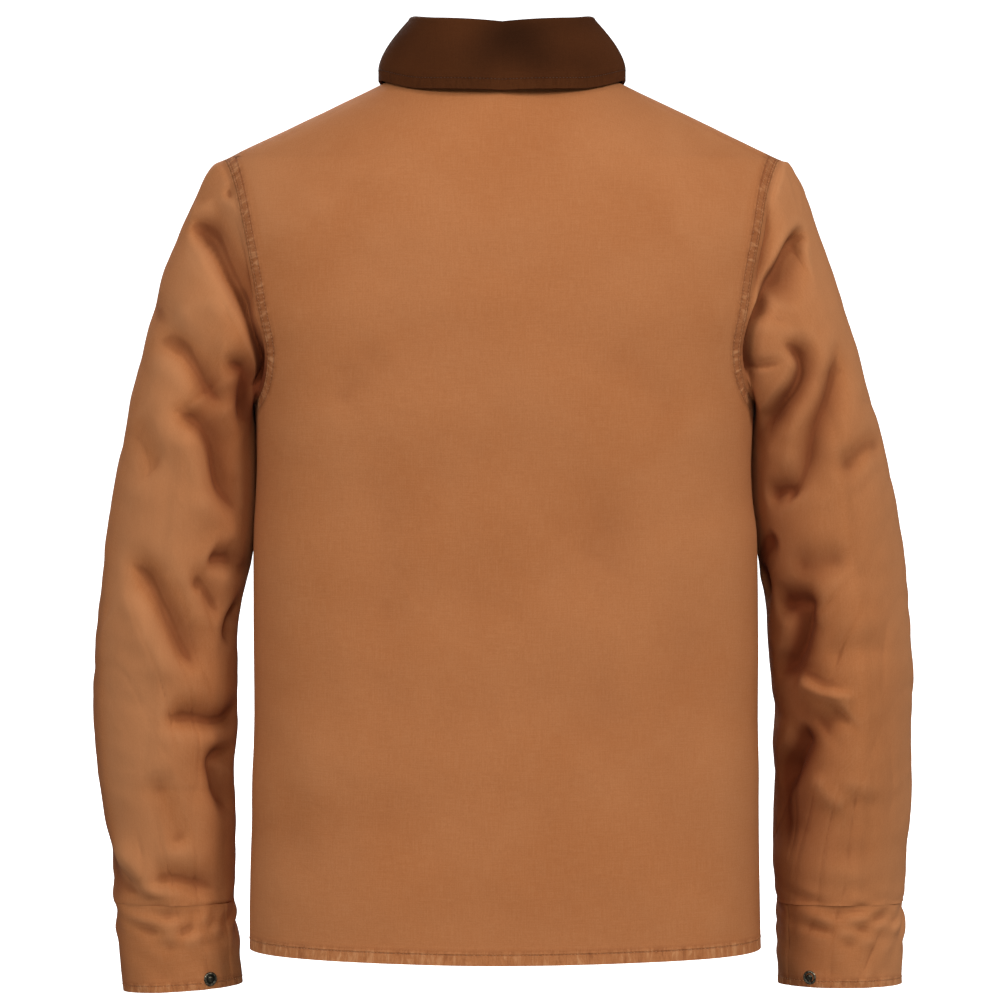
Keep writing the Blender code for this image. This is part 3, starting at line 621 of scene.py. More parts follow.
def cuff_grid(side):
    """The band from its under end, all the way round and over itself to the lap's end."""
    turn = 2 * math.pi
    lap = np.radians(CUFF_LAP)
    lap_part = np.linspace(lap[0], lap[-1], LAP_STRIPS + 1)
    open_part = np.linspace(lap[-1], lap[0] - turn, CUFF_STRIPS + 1)
    around = np.concatenate((lap_part, open_part[1:-1], lap_part - turn))
    outer = smooth((lap[-1] - around) / CUFF_LAP_EDGE)
    rows = []
    for t in np.linspace(0, 1, CUFF_ROWS + 1):
        top = CUFF_TOP - CUFF_GAP
        height = top + (cuff_bottom(side, around) - top) * t
        under = (CANVAS + CUFF_LAP_GAP) * (1 - outer)
        tucked = (1 + CUFF_TUCK) * smooth(t / CUFF_TUCK_SHARE) - CUFF_TUCK
        proud = CUFF_PROUD * tucked - under
        rows.append(cuff_point(side, around, height, proud))
    return np.array(rows), around


# -------- collar


def neckline(backs, fronts):
    """The neckline's points from the right front, round the back, to the left front."""
    tops = {}
    for side in (1, -1):
        back = backs[side][-1, : BODY_MESH[0] + 1]
        front = fronts[side][-1, BODY_MESH[0] - 1 :: -1]
        tops[side] = np.concatenate((back, front))
    return np.concatenate((tops[-1][:0:-1], tops[1]))


def collar_frame(points):
    """Outward direction, radius and turn in degrees of each neckline point."""
    turn = np.degrees(np.arctan2(points[:, 0], points[:, 1]))
    turn[0], turn[-1] = COLLAR_SPREAD - 180, 180 - COLLAR_SPREAD
    angle = np.radians(turn)
    out = join(np.sin(angle), np.cos(angle), 0)
    return out, np.hypot(points[:, 0], points[:, 1]), np.abs(turn)


def collar_place(out, radius, height):
    place = out * radius[:, None]
    place[:, 2] = height
    return place


def stand_grid(points):
    """The collar's stand, from the neckline up to just under the leaf's fold."""
    out, foot_radius, turn = collar_frame(points)
    fold, height = (column(COLLAR, name, turn) for name in ("fold_radius", "fold_height"))
    run = np.abs(np.gradient(np.radians(turn))) * fold
    slope = np.gradient(height) / np.maximum(run, 0.05 * MM)
    foot = points[:, 2] + COLLAR_GAP
    top = height - (COLLAR_CLOTH + COLLAR_GAP) * np.hypot(1, np.clip(slope, -2, 2))
    rows = []
    for t in np.linspace(0, 1, STAND_ROWS + 1):
        radius = foot_radius + (fold + COLLAR_CLOTH - foot_radius) * t
        rows.append(collar_place(out, radius, foot + (top - foot) * t))
    return np.array(rows)


def leaf_grid(points):
    """Collar leaf: out over a rounded fold and down to its edge."""
    out, _, turn = collar_frame(points)
    fold, top, edge_radius, edge = (column(COLLAR, name, turn) for name in COLLAR[0][1:])
    rows = []
    for angle in np.linspace(*LEAF_FOLD_ANGLES, LEAF_FOLD_STEPS):
        radius = fold + LEAF_FOLD_MIDDLE + LEAF_FOLD_ROUND[0] * math.sin(angle)
        height = top - LEAF_FOLD_ROUND[1] * (1 - math.cos(angle))
        rows.append(collar_place(out, radius, height))
    first_radius, first_height = fold + LEAF_START[0], top - LEAF_START[1]
    for t in np.linspace(0, 1, LEAF_ROWS + 1)[1:]:
        height = first_height + (edge - first_height) * t
        flare = edge_radius - first_radius
        rolled = 1 - (1 - min(t / LEAF_ROLL, 1)) ** LEAF_CURVE
        rows.append(collar_place(out, first_radius + flare * rolled, height))
    return np.array(rows)


# -------- materials

THREAD_PITCH = 0.62 * MM
SLUB_ACROSS, SLUB_ALONG = 1400.0, 60.0
PUCKERS_ALONG, PUCKERS_ACROSS = 230.0, 60.0


class Net:
    """Short hand for building a material's nodes."""

    def __init__(self, name):
        self.material = bpy.data.materials.new(name)
        self.material.use_nodes = True
        self.tree = self.material.node_tree

    def fill(self, node, inputs):
        """Constants are set on a node's inputs and sockets are linked to them."""
        for key, value in inputs.items():
            if isinstance(value, bpy.types.NodeSocket):
                self.tree.links.new(value, node.inputs[key])
            elif value is not None:
                node.inputs[key].default_value = value

    def surface(self, inputs):
        self.fill(self.tree.nodes["Principled BSDF"], inputs)
        return self.material

    def node(self, kind, inputs=None, output=0, **settings):
        """A new node's output."""
        made = self.tree.nodes.new("ShaderNode" + kind)
        for key, value in settings.items():
            setattr(made, key, value)
        self.fill(made, inputs or {})
        return made.outputs[output]

    def attribute(self, name, output="Fac"):
        return self.node("Attribute", output=output, attribute_name=name)

    def parts(self, vector):
        return self.node("SeparateXYZ", {0: vector}).node.outputs

    def math(self, operation, *values, clamp=False):
        return self.node("Math", dict(enumerate(values)), operation=operation, use_clamp=clamp)

    def times(self, *values, clamp=False):
        return self.math("MULTIPLY", *values, clamp=clamp)

    def noise(self, vector, scale, detail=2.0, roughness=0.5, distortion=0.0):
        names = ("Vector", "Scale", "Detail", "Roughness", "Distortion")
        values = (vector, scale, detail, roughness, distortion)
        return self.node("TexNoise", dict(zip(names, values)), "Fac")

    def range(self, *values, to=(0.0, 1.0)):
        """A value between a low and a high one, brought smoothly to between two others."""
        inputs = dict(enumerate((*values, *to)))
        return self.node("MapRange", inputs, interpolation_type="SMOOTHSTEP")

    def mix(self, share, first, second):
        return self.node("Mix", {0: share, 6: first, 7: second}, 2, data_type="RGBA")

    def bump(self, height, distance, strength, normal=None):
        values = (height, distance, strength, normal)
        return self.node("Bump", dict(zip(("Height", "Distance", "Strength", "Normal"), values)))


def srgb(red, green, blue):
    """A colour given in 0 to 255 steps, as Blender's linear colour."""
    values = [value / 255 for value in (red, green, blue)]
    linear = [v / 12.92 if v <= 0.04045 else ((v + 0.055) / 1.055) ** 2.4 for v in values]
    return (*linear, 1.0)


def cloth_material(name, base, light, dark, seam_light, roughness, sheen, shine, contrast):
    """Duck cloth: plain weave with slubs, crumpled, paler on its ridges from wear and painted
    light, with painted shade in its creases, and puckered along its seams, with painted light
    and shade on the puckers."""
    net = Net(name)
    uv = net.node("UVMap", uv_map="cloth")
    parts = net.parts(uv)
    seam = net.parts(net.attribute("seam", "Vector"))
    crease = net.attribute("crease")
    space = net.node("TexCoord", output="Object")

    # Weave: the warp and weft cross over and under; slubs are threads that vary.
    turn = 2 * math.pi / THREAD_PITCH
    weave = net.times(*(net.math("SINE", net.times(parts[axis], turn)) for axis in (0, 1)))
    slubs = []
    for scale in ((SLUB_ACROSS, SLUB_ALONG, 1.0), (SLUB_ALONG, SLUB_ACROSS, 1.0)):
        threads = net.node("Mapping", {"Vector": uv, "Scale": scale})
        slubs.append(net.noise(threads, 1.0, 1.0))
    slub = net.math("ADD", *slubs)

    # Small soft dents all over, patches of wear, and the cloth's own grain.
    dents = net.noise(space, 55.0, 3.0, 0.55, 0.6)
    patch = net.noise(space, 9.0, 2.0, 0.5, 0.4)
    grain = net.noise(space, 900.0, 2.0, 0.6)

    # Seams: a band of doubled cloth beside each line, puckered square to its thread.
    fell = net.attribute("fell")
    band = net.range(fell, -0.5 * MM, 0.7 * MM)
    near = net.range(fell, -5 * MM, 1.5 * MM)
    along, off = net.times(seam[0], PUCKERS_ALONG), net.times(seam[1], PUCKERS_ACROSS)
    stretched = net.node("CombineXYZ", {0: along, 1: off, 2: seam[2]})
    pucker = net.times(net.noise(stretched, 1.0, 2.0, 0.6, 0.4), near)
    from_row = net.parts(net.attribute("rows", "Vector"))
    grooves = (
        net.range(net.math("ABSOLUTE", from_row[slot]), 1.0 * MM, 0.2 * MM) for slot in (0, 1)
    )
    groove = net.math("ADD", *grooves)
    band_shade = net.times(band, net.attribute("band_shade"))
    shade = net.attribute("shade")

    # Colour: each layer's share, and the colour it adds.
    paler = 0.6 * contrast
    darker = 0.35 * contrast
    for share, colour in (
        (net.times(net.range(patch, 0.3, 0.7), 0.16), light),
        (net.times(net.range(slub, 0.85, 1.25), 0.16), light),
        (net.times(net.range(grain, 0.35, 0.75), 0.12), dark),
        # Painted shade in the creases; the paler ridges are wear and painted light.
        (net.times(net.range(crease, 0.10, 1.0), 0.35), dark),
        (net.times(net.range(crease, -0.15, -1.0), 0.15), light),
        # The shade attribute: painted shade (+) and painted light (-).
        (net.times(shade, 1.0, clamp=True), dark),
        (net.times(shade, -1.0, clamp=True), light),
        (band_shade, dark),
        # The puckers' crowns are paler, wear and painted light, and their dips darker, painted
        # shade.
        (net.times(net.range(pucker, 0.48, 0.70), paler), seam_light),
        (net.times(net.range(pucker, 0.46, 0.26), net.times(near, darker)), dark),
        # Painted shade in the grooves of the stitch rows.
        (net.times(groove, 0.30), dark),
    ):
        base = net.mix(share, base, colour)

    normal = None
    for height, distance, strength in (
        (dents, 0.9 * MM, 0.5),
        (band, 0.7 * MM, 1.0),
        (pucker, 1.4 * MM, 1.0),
        (groove, -0.35 * MM, 1.0),
        (weave, 0.05 * MM, 0.8),
        (slub, 0.06 * MM, 0.7),
    ):
        normal = net.bump(height, distance, strength, normal)
    return net.surface({
        "Base Color": base,
        "Normal": normal,
        "Roughness": net.range(grain, 0.2, 0.8, to=(roughness - 0.06, roughness + 0.06)),
        "Sheen Weight": sheen,
        "Sheen Roughness": 0.45,
        "Sheen Tint": light,
        "Specular IOR Level": shine,
    })


def thread_material(name, colour):
    """Twisted sewing thread."""
    net = Net(name)
    space = net.node("TexCoord", output="Object")
    wear = net.noise(space, 260.0, 2.0)
    dark = tuple(0.55 * value for value in colour[:3]) + (1.0,)
    tone = net.mix(net.range(wear, 0.3, 0.7), dark, colour)
    waves = {"Vector": space, "Scale": 900.0}
    twist = net.node("TexWave", waves, "Fac", bands_direction="DIAGONAL")
    twisted = net.bump(twist, 0.04 * MM, 0.8)
    return net.surface({"Base Color": tone, "Normal": twisted, "Roughness": 0.7})


def snap_material():
    """Dark oxidised brass, rubbed on its high rim."""
    net = Net("snap_metal")
    space = net.node("TexCoord", output="Object")
    worn = net.noise(space, 700.0, 4.0, 0.65)
    spots = net.noise(space, 1800.0, 2.0, 0.5)
    point = net.node("NewGeometry", output="Pointiness")
    edge = net.times(net.range(point, 0.5, 0.56), net.range(worn, 0.35, 0.6))
    tone = net.mix(net.range(worn, 0.3, 0.75), srgb(24, 30, 27), srgb(52, 50, 40))
    return net.surface({
        "Base Color": net.mix(net.times(edge, 0.7), tone, srgb(158, 146, 124)),
        "Metallic": 0.85,
        "Roughness": net.range(worn, 0.2, 0.8, to=(0.22, 0.42)),
        "Normal": net.bump(spots, 0.05 * MM, 0.6),
    })


# -------- meshes

LINE_SEED = 7.3  # keeps the puckers of different seams apart
HOLLOWS = ((2, 0.9 * MM), (5, 3.0 * MM))  # steps away, and the height that counts as full
FAR_FROM_ROW = 20 * MM
RING_JUMP = 50 * MM  # quads wider than this in the weave's places close a ring


def lengths(grid, axis):
    """How far along the cloth each grid point is, in metres, along one axis."""
    step = np.linalg.norm(np.diff(grid, axis=axis), axis=2)
    step = np.nan_to_num(step)
    start = np.zeros_like(step.take([0], axis=axis))
    return np.concatenate((start, np.cumsum(step, axis=axis)), axis=axis)


def run_along(line):
    """How far along a line each of its points is."""
    step = np.linalg.norm(np.diff(line, axis=0), axis=1)
    return np.concatenate(([0], np.cumsum(step)))


def at_run(places, run, line):
    """The line's points at some places along it."""
    return join(*(np.interp(places, run, line[:, axis]) for axis in range(3)))


def placed(name, data):
    """A new object in the scene."""
    thing = bpy.data.objects.new(name, data)
    bpy.context.scene.collection.objects.link(thing)
    return thing


def smooth_mesh(name, points, faces, material):
    mesh = bpy.data.meshes.new(name)
    mesh.from_pydata(points, [], faces)
    mesh.shade_smooth()
    mesh.materials.append(material)
    return mesh


def store(mesh, label, values):
    """Numbers or vectors kept at a mesh's points, for its material to read."""
    kind, key = ("FLOAT", "value") if values.ndim == 1 else ("FLOAT_VECTOR", "vector")
    layer = mesh.attributes.new(label, kind, "POINT")
    layer.data.foreach_set(key, values.astype(np.float32).ravel())


def near_lines(points, lines, reach=0.016):
    """For each point: how far along the nearest of several lines it lies, how far off, and
    which line. Points further than reach get reach."""
    result = np.tile((0.0, reach, 0.0), (len(points), 1))
    for number, line in enumerate(lines):
        run = run_along(line)
        fine_run = np.arange(0, run[-1], 0.7 * MM)
        fine = at_run(fine_run, run, line)
        low, high = fine.min(axis=0) - reach, fine.max(axis=0) + reach
        chosen = np.flatnonzero(np.all((points > low) & (points < high), axis=1))
        for part in np.array_split(chosen, max(1, len(chosen) // 3000)):
            gap = np.linalg.norm(points[part, None, :] - fine[None], axis=2)
            best = gap.argmin(axis=1)
            off = gap[np.arange(len(part)), best]
            closer = off < result[part, 1]
            rows = part[closer]
            result[rows, 0] = fine_run[best[closer]]
            result[rows, 1] = off[closer]
            result[rows, 2] = LINE_SEED * number
    return result


def curl(grid, ring, steps):
    """How hollow (+) or ridged (-) the cloth is, from points a few steps away."""
    pad = "wrap" if ring else "edge"
    wide = np.pad(grid, ((0, 0), (steps, steps), (0, 0)), mode=pad)
    wide = np.pad(wide, ((steps, steps), (0, 0), (0, 0)), mode="edge")
    down = (wide[2 * steps :, steps:-steps] + wide[: -2 * steps, steps:-steps]) / 2
    across = (wide[steps:-steps, 2 * steps :] + wide[steps:-steps, : -2 * steps]) / 2
    offset = (down + across) / 2 - grid
    value = np.sum(offset * fold_normals(grid, ring), axis=2)
    value[:steps] = value[-steps:] = 0
    if not ring:
        value[:, :steps] = value[:, -steps:] = 0
    return np.nan_to_num(value)


def quads_of(grid, ring, outward):
    """Corner numbers of a grid's filled quads, and the numbers of its filled points."""
    index = np.arange(grid[..., 0].size).reshape(grid.shape[:2])
    filled = ~np.isnan(grid[:, :, 0]).reshape(-1)
    right = np.roll(index, -1, axis=1) if ring else index[:, 1:]
    left = index if ring else index[:, :-1]
    quads = join(left[:-1], right[:-1], right[1:], left[1:]).reshape(-1, 4)
    quads = quads[np.all(filled[quads], axis=1)]
    return quads[:, ::-1] if outward < 0 else quads, np.flatnonzero(filled)


def weave_places(grid, quads, ring):
    """Where each quad corner lies on the cloth laid flat, in metres."""
    across = lengths(grid, 1)
    if ring:
        across = across.mean(axis=0, keepdims=True)
    else:
        across = across - across[:, [grid.shape[1] // 2]]
    u = np.broadcast_to(across, grid.shape[:2]).reshape(-1)
    corner_u, corner_v = u[quads], lengths(grid, 0).reshape(-1)[quads]
    if ring:
        jump = np.ptp(corner_u, axis=1) > RING_JUMP
        once_round = corner_u[jump] + u.max() + 2 * MM
        corner_u[jump] = np.where(corner_u[jump] < RING_JUMP, once_round, corner_u[jump])
    return join(corner_u, corner_v).astype(np.float32).ravel()


def store_seams(mesh, points, seams):
    """Where each point lies beside the nearest seam, its stitch rows and its band."""
    near = near_lines(points, [line for line, _ in seams])
    nearest = np.rint(near[:, 2] / LINE_SEED).astype(int)
    bands, shades = (np.array([seam[kind] for _, seam in seams] or [0.0]) for kind in (0, 1))
    rows = np.full((len(points), 3), FAR_FROM_ROW)
    for number, (_, seam) in enumerate(seams):
        here = nearest == number
        for slot, offset in enumerate(seam[2]):
            rows[here, slot] = near[here, 1] - offset
    store(mesh, "seam", near)
    store(mesh, "rows", rows)
    store(mesh, "fell", bands[nearest] - near[:, 1])
    store(mesh, "band_shade", shades[nearest])


def cloth(name, grid, material, nodes, wall=0.0,
          ring=False, outward=1, shade=None, seams=()):
    """A piece of cloth from a grid of outer-face points, with its weave's directions, its
    seams and its creases stored on the mesh. outward is -1 where the grid's own normals
    point into the cloth. shade is how much painted shade (+) or painted light (-) the cloth
    gets at each grid point. seams pairs lines with the kind of seam that runs along each."""
    quads, keep = quads_of(grid, ring, outward)
    renumber = np.full(grid[..., 0].size, -1)
    renumber[keep] = np.arange(len(keep))
    points = grid.reshape(-1, 3)[keep]
    mesh = smooth_mesh(name, points.tolist(), renumber[quads].tolist(), material)
    used = np.zeros(len(mesh.loops), dtype=np.int32)
    mesh.loops.foreach_get("edge_index", used)
    rim = np.bincount(used, minlength=len(mesh.edges)) == 1
    mesh.attributes.new("sharp_edge", "BOOLEAN", "EDGE").data.foreach_set("value", rim)
    mesh.uv_layers.new(name="cloth").data.foreach_set("uv", weave_places(grid, quads, ring))
    store_seams(mesh, points, seams)
    shade = np.zeros(grid.shape[:2]) if shade is None else shade
    store(mesh, "shade", shade.reshape(-1)[keep])
    hollow = sum(curl(grid, ring, steps) / full for steps, full in HOLLOWS) * outward
    store(mesh, "crease", np.clip(hollow, -1, 1).reshape(-1)[keep])
    piece = placed(name, mesh)
    if wall:
        solidify = piece.modifiers.new("wall", "SOLIDIFY")
        solidify.thickness = wall
        solidify.offset = -1
    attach(piece, "root")
    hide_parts(*nodes)
    return piece


STITCH_PITCH = 2.9 * MM
STITCH_SIZE = np.array((2.1 * MM, 0.55 * MM, 0.55 * MM))
STITCH_DIP = 1.1 * MM
STITCH_PROUD = 0.12 * MM


def stitches(name, rows, surfaces, material):
    """Rows of sewing thread laid on the cloth as one object. Each row is a line of points
    near the surface."""
    graph = bpy.context.evaluated_depsgraph_get()
    trees = [BVHTree.FromObject(surface, graph) for surface in surfaces]
    template = bmesh.new()
    bmesh.ops.create_icosphere(template, subdivisions=1, radius=1.0)
    shape = np.array([vertex.co for vertex in template.verts])
    faces = np.array([[vertex.index for vertex in face.verts] for face in template.faces])
    template.free()
    random = np.random.default_rng(5)
    points, corners = [], []
    for row in rows:
        run = run_along(row)
        for start in np.arange(STITCH_PITCH / 2, run[-1], STITCH_PITCH):
            start += random.normal(0, 0.06) * STITCH_PITCH
            here, ahead = (Vector(at_run(start + step, run, row)) for step in (0, MM))
            hits = [tree.find_nearest(here) for tree in trees]
            spot, normal, _, _ = min(hits, key=lambda hit: hit[3] if hit[3] is not None else 9)
            along = (ahead - here).normalized()
            along = (along - normal * along.dot(normal)).normalized()
            turn = Matrix((along, normal.cross(along), normal)).transposed()
            local = shape * STITCH_SIZE / 2
            local[:, 2] -= STITCH_DIP * (local[:, 0] / STITCH_SIZE[0]) ** 2
            corners.append(faces + len(points) * len(shape))
            points.append(local @ np.array(turn).T + np.array(spot + normal * STITCH_PROUD))
    points, corners = (np.concatenate(parts).tolist() for parts in (points, corners))
    thread = placed(name, smooth_mesh(name, points, corners, material))
    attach(thread, "root")


def inset(grid, offset):
    """The line this far in from a grid's first row, measured down its columns."""
    run = lengths(grid, 0)
    return np.array([at_run(offset, run[:, at], grid[:, at]) for at in range(grid.shape[1])])


# -------- the materials

# Each cloth: base colour; a paler one for random patches and slubs that also serves as painted
# light; a darker one for grain that also serves as painted shade; and the puckers' paler colour,
# which is partly painted light.
CLOTH = cloth_material(
    "duck", srgb(174, 108, 62), srgb(196, 138, 94), srgb(106, 44, 14), srgb(204, 146, 100),
    roughness=0.90, sheen=0.06, shine=0.22, contrast=1.0,
)
BROWN = cloth_material(
    "collar_duck", srgb(76, 40, 18), srgb(94, 54, 28), srgb(20, 8, 3), srgb(86, 50, 26),
    roughness=0.94, sheen=0.0, shine=0.06, contrast=0.3,
)
TAN_THREAD = thread_material("tan_thread", srgb(190, 130, 82))
BROWN_THREAD = thread_material("brown_thread", srgb(84, 48, 28))
SNAP = snap_material()

# -------- the pieces

# Painted shade in folds: how deep a fold must be for the full shade, the most of it, and the
# body's share of the sleeves' strength.
HOLLOW_DARK = 13.5 * MM  # a fold this deep is fully dark
HOLLOW_DARKEST = 0.55
BODY_HOLLOWS = 0.4  # the body's folds darken this much as strongly as the sleeves'
SEAM_FADE = 30 * MM  # folds and ripples reach their full height this far from a seam
BODY_RIPPLES = ((0.9 * MM, 0.110, 11), (0.12 * MM, 0.035, 21))  # height, wavelength, seed


def press(grid, moved, outwards, ring):
    """The grid with each point moved out along its normal."""
    normal = fold_normals(np.nan_to_num(grid), ring) * outwards
    return grid + normal * moved[:, :, None]


def hollow_shade(moved):
    """Painted shade: cloth is darker the deeper it lies in a fold."""
    return np.clip(-moved / HOLLOW_DARK, 0, HOLLOW_DARKEST)


def body_piece(grid, face, lines, outwards):
    """A body panel with its folds, which fade out at the lines it is sewn along, and the
    painted shade the folds give it."""
    x, z = grid[:, :, 0], grid[:, :, 2]
    flat = np.nan_to_num(grid.reshape(-1, 3) * (1, 0, 1))
    facing = np.tile((0.0, face, 0.0), (len(flat), 1))
    moved = np.zeros(len(flat))
    for fold in BODY_FOLDS[face]:
        line = smooth_path(fold[3:]) * MM
        line = join(line[:, 0], 0, line[:, 1])
        moved += fold_height(flat, facing, line, fold, soft=True)
    moved = moved.reshape(x.shape)
    for height, wavelength, seed in BODY_RIPPLES:
        moved = moved + height * ripple(x, z, wavelength, seed + face)
    points = np.nan_to_num(grid.reshape(-1, 3), nan=9.0)
    fade = smooth(near_lines(points, lines, SEAM_FADE)[:, 1] / SEAM_FADE).reshape(x.shape)
    moved = np.nan_to_num(moved)
    return press(grid, moved * fade, outwards, False), BODY_HOLLOWS * hollow_shade(moved)


def sewn_edges(half):
    """A half panel's side and shoulder seams."""
    inner, _, low, arm, _ = BODY_MESH
    return [half[: low + 1, -1], half[low + arm :, inner]]


backs, fronts = ({side: half_panel(side, face) for side in SIDE_WORD} for face in (1, -1))
lift_angles = np.linspace(-math.pi / 2, math.pi / 2, 200)
armholes, armhole_rows = {}, []
for side in SIDE_WORD:
    for face in (1, -1):
        edge, beside = armhole_line(side, face, lift_angles)
        armholes[side, face] = edge
        armhole_rows += [edge + unit(beside - edge) * offset for offset in ARMHOLE_ROWS]

back_grid = np.concatenate((backs[-1][:, :0:-1], backs[1]), axis=1)
back_sewn = [*sewn_edges(backs[1]), *sewn_edges(backs[-1])]
back_armholes = [armholes[1, 1], armholes[-1, 1]]
back_grid, back_shade = body_piece(back_grid, 1, back_armholes + back_sewn, -1)
body_pieces = [cloth(
    "body_back", back_grid, CLOTH, ["back"], wall=CANVAS,
    outward=-1, shade=back_shade,
    seams=[
        *((line, ARMHOLE_SEAM) for line in back_armholes),
        (back_grid[0], HEM_SEAM),
        *((line, PLAIN_SEAM) for line in back_sewn),
    ],
)]
body_rows = [inset(back_grid, HEM_ROW), *armhole_rows]
for side, word in SIDE_WORD.items():
    half = fronts[side]
    past = half[:, :1].copy()
    past[:, :, 0] *= -1
    grid = np.concatenate((past, half), axis=1)
    if side > 0:
        grid[:, :2, 1] -= CANVAS + LAP_GAP
    armhole, sewn = armholes[side, -1], sewn_edges(half)
    grid, shade = body_piece(grid, -1, [armhole, grid[:, 0], grid[:, 1], *sewn], side)
    placket = np.transpose(grid, (1, 0, 2))
    body_pieces.append(cloth(
        f"body_front_{word}", grid, CLOTH, [f"front_{word}"],
        wall=CANVAS, outward=side, shade=shade,
        seams=[
            (armhole, ARMHOLE_SEAM),
            (grid[0], HEM_SEAM),
            (grid[:, 0], PLACKET_SEAM),
            *((line, PLAIN_SEAM) for line in sewn),
        ],
    ))
    body_rows += [inset(grid, HEM_ROW), inset(placket, PLACKET_ROW)]
    if side > 0:
        body_rows.append(inset(placket, PLACKET_WIDTH))
stitches("stitching_body", body_rows, body_pieces, TAN_THREAD)


# Small unevenness: where the sleeve is gathered into the cuff, and where creases may run.
GATHER_HEIGHT, GATHER_SPREAD = -0.668, 0.020
CREASES_BELOW = -0.12
CREASE_DEPTH, CREASE_STRETCH = 0.9 * MM, 4.5
CREASE_TILT = (0.957, 0.29)  # cosine and sine of the creases' lean


def crumple(points, side):
    """How far the sleeve's and cuff's small unevenness moves points, strongest where the
    sleeve is gathered into the cuff."""
    x, y, z = (points[..., axis] for axis in range(3))
    across = 0.8 * x + 0.6 * y
    down = z + 0.5 * y
    gathered = bell(z, GATHER_HEIGHT, GATHER_SPREAD)
    moved = 0.5 * MM * ripple(across, down, 0.070, 31 + side)
    moved += 0.16 * MM * ripple(across, down, 0.024, 41 + side)
    over = CREASE_TILT[0] * side * x - CREASE_TILT[1] * z + 0.4 * y
    along = CREASE_TILT[1] * side * x + CREASE_TILT[0] * z
    waves = np.abs(ripple(over, along, 0.038, 81 + side, stretch=(1.0, CREASE_STRETCH)))
    some = smooth(0.5 + 0.8 * ripple(over, along, 0.13, 91 + side))
    some = some * smooth((CREASES_BELOW - z) / 0.05)
    moved -= CREASE_DEPTH * some * (1 - np.minimum(1, waves / 0.5)) ** 2
    low = smooth((CUFF_TOP - z) / 0.01)
    moved += 0.45 * MM * low * ripple(across, down, 0.017, 71 + side, stretch=(1.0, 1.6))
    puckers = ripple(across, down, 0.024, 51 + side, stretch=(1.0, 0.7))
    return moved + 1.5 * MM * gathered * puckers


# Painted shade and light round the sleeves: painted shade towards the body, and painted
# light on the side away from it. side: where the painted shade starts and where it is full
# (degrees round), how dark, how pale, and how much of the paleness the cuff keeps.
SLEEVE_TONE = {1: (-50, -100, 0.10, 0.32, 0.0), -1: (10, -52, 0.38, 0.36, 1.0)}
ARMPIT_SHADE = {1: 0.45, -1: 0.10}
# Painted shade on the outer side, which is turned away from the light.
OUTER_STRIP = {1: 0.42, -1: 0.0}  # how much darker the turned-away outer side is


def sleeve_shade(side, around, height, moved):
    """How much painted shade (+) or painted light (-) the sleeve gets at each point: painted
    shade in its folds, towards the body, on its outer strip and in the armpit's gap, and
    painted light on its side away from the body."""
    start, end, dark, pale, cuff = SLEEVE_TONE[side]
    degrees = np.degrees(around)[None]
    turned = np.where(degrees > 90, 180 - degrees, degrees)
    lower = smooth((-0.300 - height) / 0.06)
    # Painted shade towards the body, stronger lower down.
    painted_body_shade = dark * smooth((start - turned) / (start - end)) * (0.35 + 0.65 * lower)
    # Painted shade on the outer strip, turned away from the light.
    strip = OUTER_STRIP[side] * smooth((turned - 44) / 30) * smooth((-0.34 - height) / 0.10)
    # Painted light on the side away from the body; unless the cuff keeps all of it, it fades
    # near the cuff and round the outer side.
    above_cuff = smooth((height + 0.69) / 0.09)
    reach = cuff + (1 - cuff) * above_cuff * (1 - 0.9 * smooth((turned - 40) / 30))
    # Painted shade in the armpit's gap.
    gap = ARMPIT_SHADE[side] * smooth((24 - turned) / 40) * bell(height, -0.225, 0.060)
    worn = pale * smooth((turned - start) / 60) * reach
    return hollow_shade(moved) + painted_body_shade + strip + gap - worn


cuffs, cuff_rows = [], []
for side, word in SIDE_WORD.items():
    grid, around, edge = sleeve_grid(side)
    facing = (fold_normals(grid, True) * side).reshape(-1, 3)
    moved = np.zeros(len(facing))
    for fold in SLEEVE_FOLDS[side]:
        line = on_sleeve(grid, fold[3:])
        moved += fold_height(grid.reshape(-1, 3), facing, line, fold, side)
    rows_down = np.arange(grid.shape[0])[:, None]
    moved = moved.reshape(grid.shape[:2]) * smooth((grid.shape[0] - 1 - rows_down) / 6)
    moved = even_out(even_out(moved, 1).T, 1).T
    shade = sleeve_shade(side, around, grid[:, :, 2], moved)
    # Where the sleeve lies against the body, and at both its ends, it stays smooth.
    touching = smooth((-np.sin(around)[None] - 0.75) / 0.15)
    touching = touching * smooth((grid[:, :, 2] + 0.400) / 0.02)
    moved = (moved + crumple(grid, side)) * smooth((rows_down - 1) / 5) * (1 - touching)
    cloth(
        f"sleeve_cloth_{word}", press(grid, moved, side, True), CLOTH, [f"sleeve_{word}"],
        ring=True, outward=side, shade=shade,
        seams=[(np.concatenate((edge, edge[:1])), SLEEVE_SEAM)],
    )
    grid, around = cuff_grid(side)
    around = (around + math.pi / 2) % (2 * math.pi) - math.pi / 2
    shade = sleeve_shade(side, around, grid[:, :, 2], np.zeros(grid.shape[:2]))
    grid = press(grid, crumple(grid, side), -side, False)
    cuffs.append(cloth(
        f"cuff_band_{word}", grid, CLOTH, [f"cuff_{word}"], wall=CANVAS,
        outward=-side, shade=shade, seams=[(grid[-1], CUFF_SEAM)],
    ))
    cuff_rows.append(inset(grid[::-1], CUFF_ROW))
stitches("stitching_cuffs", cuff_rows, cuffs, TAN_THREAD)

points = neckline(backs, fronts)
cloth(
    "collar_stand_cloth", stand_grid(points), BROWN, ["collar_stand"],
    wall=COLLAR_CLOTH, outward=-1,
)
leaf = leaf_grid(points)
x, z = leaf[:, :, 0], leaf[:, :, 2]
